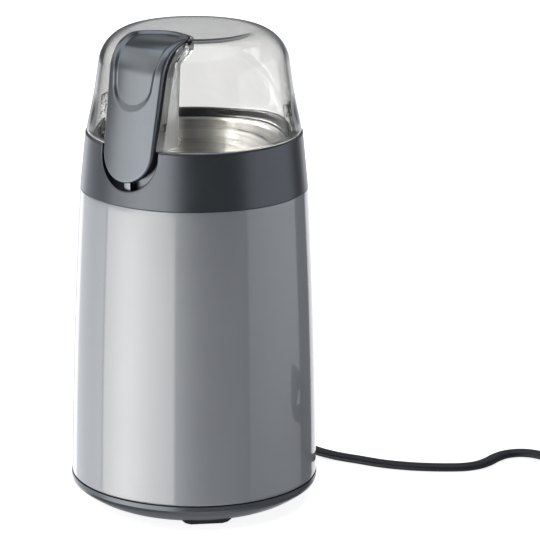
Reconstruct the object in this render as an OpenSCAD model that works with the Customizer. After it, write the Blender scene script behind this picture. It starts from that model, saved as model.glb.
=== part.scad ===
// Electric spice grinder: clear lid with a sliding push button, steel bowl, universal motor.
// The axis of the body is Z, the floor is z = 0, the push button faces -Y and the cord leaves at +Y.

/* [Body shell] */
// Diameter of the body shell at its lower edge
shell_bottom_d = 100; // [98:0.5:103]
// Diameter of the body shell at its upper edge
shell_top_d = 91.4; // [90.5:0.2:92.4]
// Height of the body shell
shell_h = 119.4; // [114:0.2:126]
// How far the side of the shell swells past a straight cone
shell_bulge = 0.65; // [0:0.05:1.2]
// Wall thickness of the body shell
shell_t = 2; // [1.6:0.1:2.4]

/* [Base] */
// Height of the base cover below the shell
base_h = 9; // [8.6:0.1:11]
// Thickness of the base floor
base_floor_t = 2.4; // [2:0.1:2.8]
// Height of the rubber feet below the base cover
foot_h = 2; // [1.5:0.1:3]
// Width of a foot where it meets the base cover
foot_w = 20.4; // [17:0.2:22]
// Length of a foot from the middle outwards
foot_l = 12; // [11:0.5:13]
// Number of cooling slots in the base floor
vent_count = 7; // [3:1:7]
// Width of a cooling slot
vent_w = 2.4; // [1.6:0.1:3]

/* [Collar] */
// Height of the collar above the shell
collar_h = 22.9; // [22:0.1:26]
// Diameter of the collar at its upper edge
collar_top_d = 86.8; // [86:0.2:88]
// Wall thickness of the collar
collar_t = 2.2; // [1.8:0.1:2.4]
// Thickness of the shelf that carries the bowl
shelf_t = 2.2; // [1.8:0.1:3]

/* [Bowl] */
// Inner diameter of the bowl at its rim
bowl_d = 69; // [66:0.5:69.4]
// Inner depth of the bowl
bowl_depth = 38; // [34:0.5:40]
// Thickness of the bowl's sheet steel
bowl_t = 0.6; // [0.5:0.05:0.8]
// Depth of the bowl's rim below the collar's upper edge
rim_drop = 4.7; // [4.5:0.1:5.4]
// Tip to tip length of the blade
blade_l = 58; // [50:1:60]
// Thickness of the blade
blade_t = 1.5; // [1.2:0.1:2]

/* [Lid] */
// Height of the lid above the collar
lid_h = 41.2; // [40:0.2:45]
// Radius of the rounded shoulder of the lid
lid_shoulder_r = 15; // [14.5:0.1:15.5]
// Wall thickness of the lid
lid_t = 2.2; // [1.8:0.1:2.4]

/* [Push button] */
// Half width of the button at its lower, round end
button_half_w = 12; // [11.6:0.1:12.3]
// How far the button stands proud of the lid
button_proud = 1.8; // [1.6:0.1:2.2]
// Thickness of the button's skin
button_t = 1.6; // [1.4:0.05:1.7]
// Depth of the thumb recess
recess_d = 0.8; // [0.5:0.05:0.9]
// Travel of the button
button_travel = 3; // [2.5:0.1:3.2]
// Width of the prong under the button
prong_w = 3.2; // [2.8:0.1:3.6]

/* [Motor] */
// Diameter of the motor shaft
shaft_d = 5; // [4:0.1:6]
// Diameter of the armature
armature_d = 31.6; // [30:0.2:32]
// Air gap between armature and stator
air_gap = 0.5; // [0.4:0.05:0.8]
// Height of the lamination stack
stack_h = 22; // [18:0.5:24]
// Diameter of the commutator
commutator_d = 16; // [14:0.5:18]
// Diameter of the cooling fan
fan_d = 42; // [36:1:43]

/* [Fasteners] */
// Diameter of the long and short screws
screw_d = 3; // [2.6:0.1:3.4]

/* [Cord] */
// Width of the flat cord
cord_w = 5.2; // [4.8:0.1:5.6]
// Thickness of the flat cord
cord_t = 3.1; // [2.8:0.1:3.2]

/* [Hidden] */
$fn = 72;
fit = 0.3;              // clearance between curved faces that slide past each other
run = 0.05;             // radial clearance of a shaft or screw in its hole
eps = 0.01;

// levels
z_base = foot_h;
z_shell = z_base + base_h;
z_collar = z_shell + shell_h;
z_lid = z_collar + collar_h;
z_top = z_lid + lid_h;

// body
shell_r0 = shell_bottom_d / 2;
shell_r1 = shell_top_d / 2;
shell_steps = 16;
lip_r = shell_t / 2;

// collar and bowl
collar_r1 = collar_top_d / 2;
collar_slope = (shell_r1 - collar_r1) / collar_h;
spigot_h = 6;
spigot_t = 1.6;
spigot_r = shell_r1 - shell_t - fit;
gasket_t = 1;
bowl_r = bowl_d / 2;
bowl_floor_r = bowl_r - 2;
bowl_corner_r = 6;
bowl_flange_r = bowl_r + 3.1;
z_rim = z_lid - rim_drop;
z_bowl = z_rim - bowl_depth;
z_shelf = z_rim - bowl_t - gasket_t;
shelf_r = bowl_r + bowl_t + 0.8;
notch_clear = 1.75;
notch_r = button_half_w + notch_clear;
notch_gap = button_travel + 0.5;
button_end_z = z_lid - 13.2;
notch_floor_z = button_end_z - notch_gap;
pocket_wall = 1.6;
pocket_r = bowl_flange_r + 0.4 + pocket_wall;
prong_back = pocket_r + 0.5;          // depth of the prong's back face from the axis
prong_depth = shell_r1 - shell_t - 0.4 - prong_back;
prong_drop = 4.2;                     // how far the prong reaches below the notch

// lid
lid_foot_r = collar_r1 - 0.5;
lid_side_r = lid_foot_r - 0.95;       // side of the lid just above its foot
lid_foot_h = 2.2;
lid_shoulder_x = 38.2 - lid_shoulder_r;
lid_shoulder_z = z_top - lid_shoulder_r;
lid_side_x = lid_side_r - lid_shoulder_x;
lid_side_z = lid_shoulder_z - z_lid - lid_foot_h;
lid_draft = acos(lid_shoulder_r / norm([lid_side_x, lid_side_z])) - atan2(lid_side_z, lid_side_x);
skirt_r = collar_r1 - collar_t - 0.6;
skirt_t = 2.2;
skirt_h = rim_drop - 0.3;
channel_clear = 0.45;
channel_wall = 2;
channel_back = 29.1;                  // depth of the channel's back wall from the axis
channel_floor_t = 2;
channel_bend_z = z_top - 7.7;
channel_top_y = 20;
channel_top_z = z_top - 4.3;
channel_end_clear = 0.6;

// push button
button_top_half_w = button_half_w + 1.8;
button_end_y = 25.4;                  // middle of the button's rounded upper end
button_end_l = 12.9;
button_low_z = button_end_z + button_half_w;
button_top_gap = 0.6;                 // how far the button's upper end stands above the lid
button_side_t = 1.5;
recess_margin = 2.2;
recess_end_z = z_lid + 15;
button_side_d = 3.6;                  // depth of the button's side walls
lug_out = 1.4;
lug_h = 3;
lug_z = z_lid + 7;
lug_y0 = 34;
lug_y1 = 36.8;
lug_root = 38.6;

// chassis and motor, all hung from the collar
ring_z = z_lid - 35.3;                // underside of the chassis ring
ring_t = 6;
ring_r = shell_r1 - shell_t - 0.5;
ring_in_r = bowl_floor_r + bowl_t + 2.1;
deck_t = 3;
deck_z = z_bowl - 10.6;               // underside of the deck that carries the motor
deck_r = 33;
post_r = 3.5;
post_at = 35.6;
boss_r = 3.2;
boss_at = spigot_r - 4;
hub_r = 8;
mount_at = 28.2;
mount_r = 5.2;
mount_h = 6;
bracket_t = 3;
bracket_w = 18;
bracket_hub_r = 7;
bearing_r = 5;
bearing_h = 8;
upper_z = deck_z - 20;                // underside of the upper bracket's bar
leg_h = 8;
stack_z = upper_z - leg_h - stack_h;
stator_x = 31;
stator_y = 21;
stator_corner = 8;
bore_r = armature_d / 2 + air_gap;
coil_w = 6.2;
coil_in_y = 12.4;
coil_t = 5.6;
coil_x0 = bore_r + 1.6;
coil_over = 5.4;
lower_leg = 17;
lower_z = stack_z - lower_leg - bracket_t;
shaft_r = shaft_d / 2;
shaft_z0 = lower_z - 7;
blade_z = z_bowl + 6;
nut_h = 4;
shaft_z1 = blade_z + blade_t + nut_h;
commutator_h = 8;
commutator_z = stack_z - 16.5;
brush_z = commutator_z + commutator_h / 2;
brush_w = 6;
brush_h = 5;
brush_l = 12;
holder_t = 0.8;
holder_l = 15;
brush_front = commutator_d / 2 + fit;
fan_z = upper_z + 9.5;
fan_h = 5;
fan_blades = 9;

// switch, hung under the chassis deck at the front
rod_r = 2;
plunger_y = -(pocket_r + 0.4);
plunger_head_r = 2.9;
plunger_head_h = 2;
prong_tip_z = notch_floor_z - prong_drop;
plunger_top_z = prong_tip_z - fit;
lever_arm = 15;
lever_angle = 12.5;
lever_t = 0.6;
lever_w = 4;
lever_l = 17;
lever_pin_r = 0.55;
lever_eye_r = 1.3;
switch_top_z = deck_z - 4;
switch_h = 10.6;
switch_w = 20;
switch_d = 6.4;
lever_z = switch_top_z + 2;
rod_tip_r = 1;
rod_tip_z = lever_z + lever_arm * tan(lever_angle) + (lever_t + 0.37 + rod_tip_r) / cos(lever_angle) - rod_tip_r;
switch_x = -6;
switch_tab_t = 2;

// base
base_edge_r = shell_r0 + 0.2;
base_flat_r = 40.3;
base_swell = base_edge_r - base_flat_r;
base_spigot_h = 3;
base_spigot_r = shell_r0 - shell_t - fit;
base_boss_h = 6.6;
screw_r = screw_d / 2;
head_r = screw_r + 1.2;
head_h = 1.8;
foot_sink = 0.8;
foot_in_r = 38.8 - foot_l;
head_sink = 3.4;
post_z = z_base + base_floor_t + base_boss_h;

// cord, laid on the floor; the first points lie in the strain relief
exit_z = 7;
exit_half_w = 4.5;
exit_half_h = 3.4;
relief_y = 40.6;
relief_points = 7;
lead_route = [[0, relief_y, exit_z], [0, 48, 7], [0, 52, 7], [0.6, 56.3, 6.8], [2.2, 60.2, 6.3], [4.8, 63.7, 5.5],
    [8.2, 66.3, 4.6], [12.2, 67.9, 3.6], [16.5, 68.6, 2.8], [23.5, 69.5, 1.9], [31, 70.4, 1.6],
    [43, 71.8, 1.6], [52.5, 74.6, 1.6], [62, 80.2, 1.6], [68.4, 87.6, 1.6], [72, 96.4, 1.6],
    [73.1, 104, 1.6], [73.1, 111.1, 1.6], [74.8, 117.4, 1.7], [79.4, 121.9, 1.8], [85.6, 123.6, 1.9],
    [92, 122.4, 2.1], [97.6, 120.9, 2.3], [103, 119.4, 2.4]];
tail_route = [[98.8, 174.3, 5.9], [94.4, 170.2, 6.6], [91.4, 165.5, 7.6], [89.6, 160.4, 8.6],
    [90, 154.5, 9.9], [91.4, 151, 10.8], [93.7, 148, 11.8], [96.7, 145.7, 12.9], [100.2, 143.7, 14.2],
    [103.7, 141.7, 14.2]];
coil_at = [120, 149];
coil_mid_r = 30.3;
coil_pitch = 5.4;
coil_layers = 2;
coil_layer_h = 3.3;
tie_t = 0.8;
tie_angle = 15;
tie_at = 52;
coil_z0 = tie_t;
coil_z1 = coil_z0 + coil_layers * coil_layer_h;
coil_r0 = coil_mid_r - coil_pitch / 2 - cord_w / 2 - 0.2;
coil_r1 = coil_mid_r + coil_pitch / 2 + cord_w / 2 + 0.2;
plug_turn = -30;
plug_t = 13.7;
plug_l = 30;
plug_half_w = 17.6;
plug_neck_l = 12;
pin_r = 2;
pin_l = 19;
pin_half = 9.3;

// radius of the shell's outside at a share s of its height
function shell_r(s) = shell_r0 + (shell_r1 - shell_r0) * s + shell_bulge * 4 * s * (1 - s);
// radius of the collar's outside at height z
function collar_r(z) = shell_r1 - collar_slope * (z - z_collar);
// unit vector along v
function unit(v) = v / norm(v);
// direction of a route at its point i
function route_dir(p, i) = unit(p[min(i + 1, len(p) - 1)] - p[max(i - 1, 0)]);
// one ring of a tube of width w and thickness t round the point c, looking along d
function tube_ring(c, d, w, t, sides, up) = let(s = unit(cross(d, up)), u = cross(s, d))
    [for (k = [0:sides - 1]) c + s * cos(360 * k / sides) * w / 2 + u * sin(360 * k / sides) * t / 2];

// tube along a route from its point a to its point b; w and t give width and thickness at each point
module tube(p, a, b, w, t, sides = 8, up = [0, 0, 1]) {
    n = b - a + 1;
    rings = [for (i = [a:b]) tube_ring(p[i], route_dir(p, i), w[i - a], t[i - a], sides, up)];
    points = [for (ring = rings) for (q = ring) q];
    walls = [for (i = [0:n - 2]) for (k = [0:sides - 1])
        [i * sides + k, i * sides + (k + 1) % sides, (i + 1) * sides + (k + 1) % sides, (i + 1) * sides + k]];
    near = [for (k = [sides - 1:-1:0]) k];
    far = [for (k = [0:sides - 1]) (n - 1) * sides + k];
    polyhedron(points, concat([near], walls, [far]), convexity = 8);
}

// tube of one width along a route
module cable(p, w, t, sides = 8, up = [0, 0, 1]) {
    tube(p, 0, len(p) - 1, [for (q = p) w], [for (q = p) t], sides, up);
}

// ring between two radii and two heights
module ring(r_in, r_out, z0, z1) {
    translate([0, 0, z0]) difference() {
        cylinder(r = r_out, h = z1 - z0);
        translate([0, 0, -eps]) cylinder(r = r_in, h = z1 - z0 + 2 * eps);
    }
}

// rectangle with round corners
module rounded(w, h, r) {
    square([w - 2 * r, h], center = true);
    square([w, h - 2 * r], center = true);
    for (x = [-1, 1]) for (y = [-1, 1]) translate([x * (w / 2 - r), y * (h / 2 - r)]) circle(r = r, $fn = 32);
}

// screw with its head at z = 0 and its shank going up
module screw(length, head = head_h) {
    difference() {
        cylinder(r = head_r, h = head);
        for (a = [0, 90]) rotate(a) translate([-head_r * 0.6, -0.4, -eps]) cube([head_r * 1.2, 0.8, head * 0.6]);
    }
    translate([0, 0, head - eps]) cylinder(r = screw_r, h = length);
}

// copies of the children at a radius, at each of the angles
module around(angles, r) {
    for (a = angles) rotate(a) translate([r, 0, 0]) children();
}

corners = [45:90:315];
bosses = [0, 90, 180];

// ---- housing ----

module body_shell() {
    color("silver") rotate_extrude($fn = 144) polygon(concat(
        [[shell_r0 - shell_t, z_shell], [shell_r0 - shell_t, z_shell + shell_t]],
        [[shell_r1 - shell_t, z_collar], [shell_r1, z_collar]],
        [for (i = [shell_steps - 1:-1:1]) [shell_r(i / shell_steps), z_shell + shell_h * i / shell_steps]],
        [for (a = [0:15:90]) [shell_r0 - lip_r * (1 - cos(a)), z_shell + lip_r * (1 - sin(a))]]));
}

// outline of the base cover's section: a shallow dish with a rounded rim
module base_section() {
    inner_r = base_spigot_r - 1.8;
    polygon([[0, z_base], [base_flat_r, z_base], [base_flat_r + base_swell * 32 / 99, z_base + 1.5],
        [base_flat_r + base_swell * 56 / 99, z_base + 3], [base_flat_r + base_swell * 78 / 99, z_base + 4.5],
        [base_flat_r + base_swell * 95 / 99, z_base + 6],
        [base_edge_r, z_base + 7.2], [base_edge_r, z_shell], [base_spigot_r, z_shell],
        [base_spigot_r, z_shell + base_spigot_h], [inner_r, z_shell + base_spigot_h],
        [inner_r, z_base + 7], [base_flat_r + base_swell * 22 / 99, z_base + base_floor_t + 1],
        [base_flat_r, z_base + base_floor_t], [0, z_base + base_floor_t]]);
}

module foot_pad(grow, z0, z1) {
    translate([foot_in_r - grow, -foot_w / 2 - grow, z0]) cube([foot_l + 2 * grow, foot_w + 2 * grow, z1 - z0]);
}

module vents() {
    pitch = 2.4 * vent_w;
    for (i = [0:vent_count - 1]) {
        y = (i - (vent_count - 1) / 2) * pitch;
        length = 34 - abs(y) * 0.8;
        translate([0, y, z_base - eps]) linear_extrude(base_floor_t + 2 * eps)
            rounded(length, vent_w, vent_w * 0.49);
    }
}

module base_cover() {
    color("dimgray") difference() {
        union() {
            rotate_extrude($fn = 144) base_section();
            around(corners, post_at) translate([0, 0, z_base + 1]) cylinder(r = post_r + 1.2, h = post_z - z_base - 1);
            for (x = [-1, 1]) translate([x * clamp_x, clamp_y, z_base + 1])
                cylinder(r = 2.8, h = clamp_z - z_base - 1);
            translate([-3.4, clamp_y - 3, z_base + 1]) cube([6.8, 6, exit_z - cord_t / 2 - z_base - 1]);
        }
        around(corners, 0) foot_pad(0.1, z_base - eps, z_base + foot_sink);
        around(corners, post_at) translate([0, 0, z_base - eps]) cylinder(r = head_r + 0.4, h = head_sink + eps);
        around(corners, post_at) translate([0, 0, z_base]) cylinder(r = screw_r + run, h = base_h + 20);
        for (x = [-1, 1]) translate([x * clamp_x, clamp_y, z_base + base_floor_t + 1])
            cylinder(r = screw_r + run, h = 20);
        vents();
        translate([0, shell_r0 - 12, exit_z - exit_half_h]) exit_slot();
    }
}

// slot in the rear rim that the strain relief drops into from above
module exit_slot() {
    translate([-exit_half_w, 0, 0]) cube([2 * exit_half_w, 20, base_h + 20]);
}

module rubber_feet() {
    color("dimgray") for (a = corners) rotate(a) {
        foot_pad(0, z_base - eps, z_base + foot_sink);
        intersection() {
            foot_pad(0, 0, z_base);
            translate([foot_in_r - 1, 0, 0]) rotate([90, 0, 90]) linear_extrude(foot_l + 2)
                polygon([[-foot_w * 0.31, 0], [foot_w * 0.31, 0], [foot_w * 0.42, foot_h * 0.3],
                    [foot_w / 2, foot_h], [-foot_w / 2, foot_h], [-foot_w * 0.42, foot_h * 0.3]]);
        }
    }
}

// upright slot shape with a round lower end, drawn in X and Z
module slot_shape(half_w, low_z, top_z) {
    translate([0, low_z]) circle(r = half_w);
    translate([-half_w, low_z]) square([2 * half_w, top_z - low_z]);
}

// pushes a drawing in X and Z back along Y, from depth d0 to depth d1 in front of the axis
module press_y(d0, d1) {
    translate([0, -d0, 0]) rotate([90, 0, 0]) linear_extrude(d1 - d0) children();
}

module collar() {
    notch_z = notch_floor_z + notch_r;
    color("slategray") difference() {
        union() {
            rotate_extrude($fn = 144) polygon([[collar_r(z_collar) - collar_t, z_collar],
                [spigot_r - spigot_t, z_collar], [spigot_r - spigot_t, z_collar - spigot_h],
                [spigot_r, z_collar - spigot_h], [spigot_r, z_collar], [shell_r1, z_collar],
                [collar_r1 + 0.05, z_lid - 0.5], [collar_r1 - 0.4, z_lid], [collar_r1 - collar_t, z_lid],
                [collar_r(z_shelf) - collar_t, z_shelf], [shelf_r, z_shelf], [shelf_r, z_shelf - shelf_t],
                [collar_r(z_shelf - shelf_t) - collar_t, z_shelf - shelf_t]]);
            around(bosses, boss_at) translate([0, 0, ring_z + ring_t])
                cylinder(r = boss_r, h = z_shelf - shelf_t - ring_z - ring_t + eps);
            intersection() {
                cylinder(r1 = shell_r1 + collar_slope * z_collar - 1, r2 = shell_r1 - collar_slope *
                    (z_lid - z_collar) - 1, h = z_lid, $fn = 144);
                difference() {
                    press_y(20, 50) slot_shape(notch_r + pocket_wall, notch_z, z_lid);
                    cylinder(r = pocket_r - pocket_wall, h = z_top, $fn = 144);
                }
            }
        }
        difference() {
            press_y(20, 50) slot_shape(notch_r, notch_z, z_lid + 5);
            cylinder(r = pocket_r, h = z_top, $fn = 144);
        }
        translate([-prong_w / 2 - 0.4, -prong_back - prong_depth - 0.4, z_collar - 1.5])
            cube([prong_w + 0.8, prong_depth + 0.8, notch_floor_z - z_collar + 4]);
        translate([-4, plunger_y - 3.4, z_collar - spigot_h - 1]) cube([8, 8, spigot_h + 1.8]);
        around(bosses, boss_at) translate([0, 0, ring_z]) cylinder(r = screw_r + run, h = ring_t + 10);
    }
}

module chassis() {
    color("lightgray") difference() {
        union() {
            ring(ring_in_r - 1, ring_r, ring_z, ring_z + ring_t);
            around(corners, post_at) translate([0, 0, post_z]) cylinder(r = post_r, h = ring_z + ring_t - post_z);
            translate([0, 0, deck_z]) cylinder(r = deck_r, h = deck_t);
            around(corners, 20) translate([0, -2.5, deck_z + 0.4]) cube([post_at - 21, 5, deck_t - 0.8]);
            translate([0, 0, deck_z - 4]) cylinder(r = hub_r, h = z_bowl - bowl_t - deck_z + 4 - 0.4);
            around([0, 180], mount_at) translate([0, 0, deck_z - 2]) cylinder(r = 4, h = 2 + eps);
            translate([-14, -(switch_face_y), switch_top_z - switch_h - 2])
                cube([20, switch_tab_t, deck_z - switch_top_z + switch_h + 4]);
        }
        translate([0, 0, deck_z - 5]) cylinder(r = shaft_r + 1.2, h = 40);
        translate([0, 0, z_bowl - bowl_t - seal_h]) cylinder(r = seal_r + 0.1, h = 20);
        around(corners, post_at) translate([0, 0, post_z - eps]) cylinder(r = screw_r + run, h = 14);
        around([0, 180], mount_at) translate([0, 0, deck_z - 4]) cylinder(r = screw_r + run, h = 20);
        around(bosses, boss_at) translate([0, 0, ring_z - 1]) cylinder(r = screw_r + run, h = 20);
        around(bosses, boss_at) translate([0, 0, ring_z - eps]) cylinder(r = head_r + 0.3, h = 2 + eps);
        translate([0, plunger_y, ring_z - 1]) cylinder(r = rod_r + run, h = ring_t + 2);
        for (x = [-5, 5]) translate([switch_x + x, -switch_face_y - 1, switch_screw_z]) rotate([-90, 0, 0])
            cylinder(r = 1 + run, h = 6, $fn = 32);
        translate([0, 0, z_bowl - bowl_t - 0.3]) cylinder(r = ring_in_r, h = 40);
    }
}

seal_h = 4;
seal_r = 5.4;
switch_face_y = 33.6;                 // back of the switch, depth from the axis
switch_screw_z = switch_top_z - 7.6;
clamp_x = 8.6;
clamp_y = 33;
clamp_z = exit_z + cord_t / 2 - 0.9;
clamp_t = 3.4;

module grinding_bowl() {
    color("gainsboro") rotate_extrude($fn = 144) difference() {
        union() {
            bowl_outline(bowl_t);
            translate([0, z_rim - bowl_t]) square([bowl_flange_r, bowl_t]);
        }
        bowl_outline(0);
        translate([0, z_bowl - 10]) square([shaft_r + 1.4, 40]);
        translate([0, z_rim - eps]) square([bowl_r + 0.4, 1]);
    }
}

// section of the bowl's inside, or of its outside when grow is the sheet thickness
module bowl_outline(grow) {
    c = bowl_corner_r + grow;
    r0 = bowl_floor_r + grow;
    z0 = z_bowl - grow;
    polygon([[0, z0], [r0 - c, z0], [r0, z0 + c], [bowl_r + grow, z_rim + (grow > 0 ? 0 : eps)],
        [0, z_rim + (grow > 0 ? 0 : eps)]]);
    translate([r0 - c, z0 + c]) intersection() {
        circle(r = c);
        translate([0, -c]) square(c);
    }
}

module bowl_gasket() {
    color("black") ring(shelf_r, bowl_flange_r, z_shelf, z_shelf + gasket_t);
}

module shaft_seal() {
    color("black") difference() {
        union() {
            ring(shaft_r + fit, seal_r, z_bowl - bowl_t - seal_h, z_bowl - bowl_t);
            ring(shaft_r + fit, shaft_r + 1.3, z_bowl - bowl_t - eps, z_bowl + 1.2);
            ring(shaft_r + fit, shaft_r + 2.6, z_bowl, z_bowl + 1.2);
        }
    }
}

// ---- motor ----

module bearing(z) {
    ring(shaft_r + run, bearing_r, z, z + bearing_h);
}

module upper_bearing() {
    color("darkgoldenrod") bearing(upper_z);
}

module lower_bearing() {
    color("darkgoldenrod") bearing(lower_z - 6);
}

// bar with a leg at each end and a bearing hub in the middle; dir points to the stack
module motor_bracket(bar_z, leg_z, leg_length, hub_z) {
    difference() {
        union() {
            translate([0, 0, bar_z]) linear_extrude(bracket_t) rounded(2 * mount_at + 2 * mount_r - 2, bracket_w, 6);
            around([0, 180], mount_at) translate([0, 0, leg_z]) cylinder(r = 3.6, h = leg_length);
            translate([0, 0, hub_z]) cylinder(r = bracket_hub_r, h = bearing_h);
        }
        translate([0, 0, hub_z - 20]) cylinder(r = bearing_r, h = 60);
        around([0, 180], mount_at) translate([0, 0, leg_z - 60]) cylinder(r = screw_r + run, h = 140);
    }
}

module upper_bracket() {
    color("lightslategray") motor_bracket(upper_z, upper_z - leg_h, leg_h + eps, upper_z);
    color("lightslategray") around([0, 180], mount_at)
        ring(screw_r + run, 3.6, upper_z + bracket_t - eps, deck_z - 2 - mount_h);
}

module lower_bracket() {
    color("lightslategray") difference() {
        union() {
            motor_bracket(lower_z, lower_z + bracket_t - eps, lower_leg + eps, lower_z - 6);
            for (s = [-1, 1]) translate([-5, s > 0 ? bracket_hub_r - 1 : -brush_front - holder_l - 1.6, lower_z])
                cube([10, brush_front + holder_l + 2.6 - bracket_hub_r, bracket_t]);
            for (s = [-1, 1]) translate([-4, s > 0 ? holder_y : -holder_y - 10, lower_z + bracket_t - eps])
                cube([8, 10, brush_z - brush_h / 2 - holder_t - lower_z - bracket_t]);
        }
        translate([0, 0, lower_z - 20]) cylinder(r = bearing_r, h = 60);
    }
}

holder_y = brush_front + 2.4;

module stator() {
    color("darkgray") translate([0, 0, stack_z]) difference() {
        linear_extrude(stack_h) difference() {
            rounded(2 * stator_x, 2 * stator_y, stator_corner);
            circle(r = bore_r);
            for (x = [-1, 1]) for (y = [-1, 1]) translate([x * (coil_x0 + coil_w / 2), y * (coil_in_y + coil_t / 2)])
                square([coil_w + 2 * fit, coil_t + 2 * fit], center = true);
            for (y = [-1, 1]) translate([0, y * (coil_in_y - 1)]) square([2 * coil_x0, 3], center = true);
        }
        around([0, 180], mount_at) translate([0, 0, -1]) cylinder(r = screw_r + run, h = stack_h + 2);
    }
}

module field_coils() {
    color("peru") for (s = [-1, 1]) translate([s > 0 ? coil_x0 : -coil_x0 - coil_w, 0, stack_z + stack_h / 2])
        rotate([90, 0, 90]) linear_extrude(coil_w) difference() {
            rounded(2 * (coil_in_y + coil_t), stack_h + 2 * coil_over + 0.6, 5);
            rounded(2 * coil_in_y, stack_h + 0.6, 0.3);
        }
}

module rubber_mounts() {
    color("black") around([0, 180], mount_at) ring(screw_r + run, mount_r, deck_z - 2 - mount_h, deck_z - 2);
}

module brush_box(grow, length) {
    translate([-brush_w / 2 - grow, 0, brush_z - brush_h / 2 - grow])
        cube([brush_w + 2 * grow, length, brush_h + 2 * grow]);
}

module brush_holders() {
    color("goldenrod") for (a = [0, 180]) rotate(a) translate([0, holder_y, 0]) difference() {
        brush_box(holder_t, holder_l - 2.4);
        translate([0, -1, 0]) brush_box(0.1, holder_l - 2.4);
    }
}

module carbon_brushes() {
    color("black") for (a = [0, 180]) rotate(a) translate([0, brush_front, 0]) brush_box(0.08, brush_l);
}

module motor_screws() {
    color("gray") around([0, 180], mount_at) translate([0, 0, lower_z - head_h]) screw(deck_z + deck_t - lower_z - 1);
}

module motor_shaft() {
    color("silver") translate([0, 0, shaft_z0]) cylinder(r = shaft_r, h = shaft_z1 - shaft_z0);
}

module armature() {
    color("dimgray") difference() {
        ring(shaft_r, armature_d / 2, stack_z, stack_z + stack_h);
        for (a = [0:30:330]) rotate(a) translate([armature_d / 2 - 1.6, -0.9, stack_z - 1]) cube([4, 1.8, stack_h + 2]);
    }
}

module armature_windings() {
    color("peru") rotate_extrude() {
        for (z = [stack_z - 5.4, stack_z + stack_h]) translate([shaft_r + 1, z]) difference() {
            square([9.6, 5.4]);
            if (z < stack_z) translate([7.6, -0.01]) square([3, 1.4]);
            if (z >= stack_z) translate([7.6, 4]) square([3, 1.5]);
        }
    }
}

module commutator() {
    color("orange") difference() {
        union() {
            ring(shaft_r, commutator_d / 2, commutator_z, commutator_z + commutator_h);
            ring(shaft_r, commutator_d / 2 - 1.6, commutator_z + commutator_h - eps, stack_z - 5.4);
        }
        for (a = [0:15:345]) rotate(a) translate([commutator_d / 2 - 0.7, -0.25, commutator_z - 1])
            cube([2, 0.5, commutator_h + 2]);
    }
}

module cooling_fan() {
    color("whitesmoke") {
        ring(shaft_r, 7, fan_z, fan_z + fan_h);
        ring(6.9, fan_d / 2, fan_z, fan_z + 1);
        for (i = [0:fan_blades - 1]) rotate(i * 360 / fan_blades) translate([6.5, -0.5, fan_z])
            cube([fan_d / 2 - 7, 1, fan_h]);
    }
}

module blade() {
    half = blade_l / 2;
    color("silver") difference() {
        union() {
            translate([0, 0, blade_z]) linear_extrude(blade_t) difference() {
                union() {
                    circle(r = 6.5);
                    for (a = [0, 180]) rotate(a)
                        polygon([[0, -5.5], [half * 0.5, -6], [half - 4, -3], [half - 4, 3], [half * 0.5, 5], [0, 5.5]]);
                }
                circle(r = shaft_r);
            }
            for (a = [0, 180]) rotate(a) translate([half - 4.4, -2.7, blade_z]) rotate([0, a > 0 ? 28 : -28, 0])
                cube([4.6, 5.4, blade_t]);
        }
    }
    color("silver") ring(shaft_r, 4.6, z_bowl + 1.5, blade_z + eps);
}

module blade_nut() {
    color("gray") difference() {
        translate([0, 0, blade_z + blade_t]) cylinder(r = 4.6, h = nut_h - 0.6, $fn = 6);
        cylinder(r = shaft_r, h = z_lid);
    }
}

// ---- fasteners ----

module base_screws() {
    color("gray") around(corners, post_at) translate([0, 0, z_base + head_sink - head_h]) screw(post_z - z_base + 7);
}

module collar_screws() {
    color("gray") around(bosses, boss_at) translate([0, 0, ring_z + 2 - head_h]) screw(ring_t + 6);
}

module switch_screws() {
    color("gray") for (x = [-5, 5]) translate([switch_x + x, -switch_face_y - switch_d, switch_screw_z])
        rotate([-90, 0, 0]) {
            translate([0, 0, -1.2]) cylinder(r = 1.9, h = 1.2, $fn = 32);
            translate([0, 0, -eps]) cylinder(r = 1, h = switch_d + switch_tab_t, $fn = 32);
        }
}

module clamp_screws() {
    color("gray") for (x = [-1, 1]) translate([x * clamp_x, clamp_y, clamp_z + clamp_t + head_h])
        rotate([180, 0, 0]) screw(clamp_t + 2);
}

// ---- switch ----

module microswitch() {
    y0 = -switch_face_y - switch_d;
    color("darkslategray") difference() {
        union() {
            translate([switch_x - switch_w / 2, y0, switch_top_z - switch_h]) cube([switch_w, switch_d, switch_h]);
            translate([switch_x + 2, y0 + switch_d / 2 - 1, switch_top_z - eps]) cube([3, 2, lever_z - switch_top_z]);
            for (y = [y0, y0 + switch_d - 0.8]) translate([-lever_arm - 1, y, switch_top_z - eps])
                cube([2.6, 0.8, lever_z - switch_top_z + 1.2]);
        }
        for (x = [-5, 5]) translate([switch_x + x, y0 - 1, switch_screw_z]) rotate([-90, 0, 0])
            cylinder(r = 1 + run, h = switch_d + 2, $fn = 32);
    }
    color("silver") translate([-lever_arm, y0 + 0.4, lever_z]) rotate([-90, 0, 0])
        cylinder(r = lever_pin_r, h = switch_d - 0.8, $fn = 24);
}

module switch_terminals() {
    color("gold") for (x = [-7, 0, 7])
        translate([switch_x + x - 1.6, -switch_face_y - switch_d / 2 - 0.3, switch_top_z - switch_h - 6])
            cube([3.2, 0.6, 6]);
}

module switch_lever() {
    y0 = -switch_face_y - switch_d / 2 - lever_w / 2;
    color("silver") translate([-lever_arm, y0, lever_z]) rotate([0, -lever_angle, 0]) difference() {
        union() {
            rotate([-90, 0, 0]) cylinder(r = lever_eye_r, h = lever_w, $fn = 32);
            translate([0, 0, 0.05]) cube([lever_l, lever_w, lever_t]);
        }
        translate([0, -1, 0]) rotate([-90, 0, 0]) cylinder(r = lever_pin_r + 0.08, h = lever_w + 2, $fn = 32);
    }
}

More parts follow.
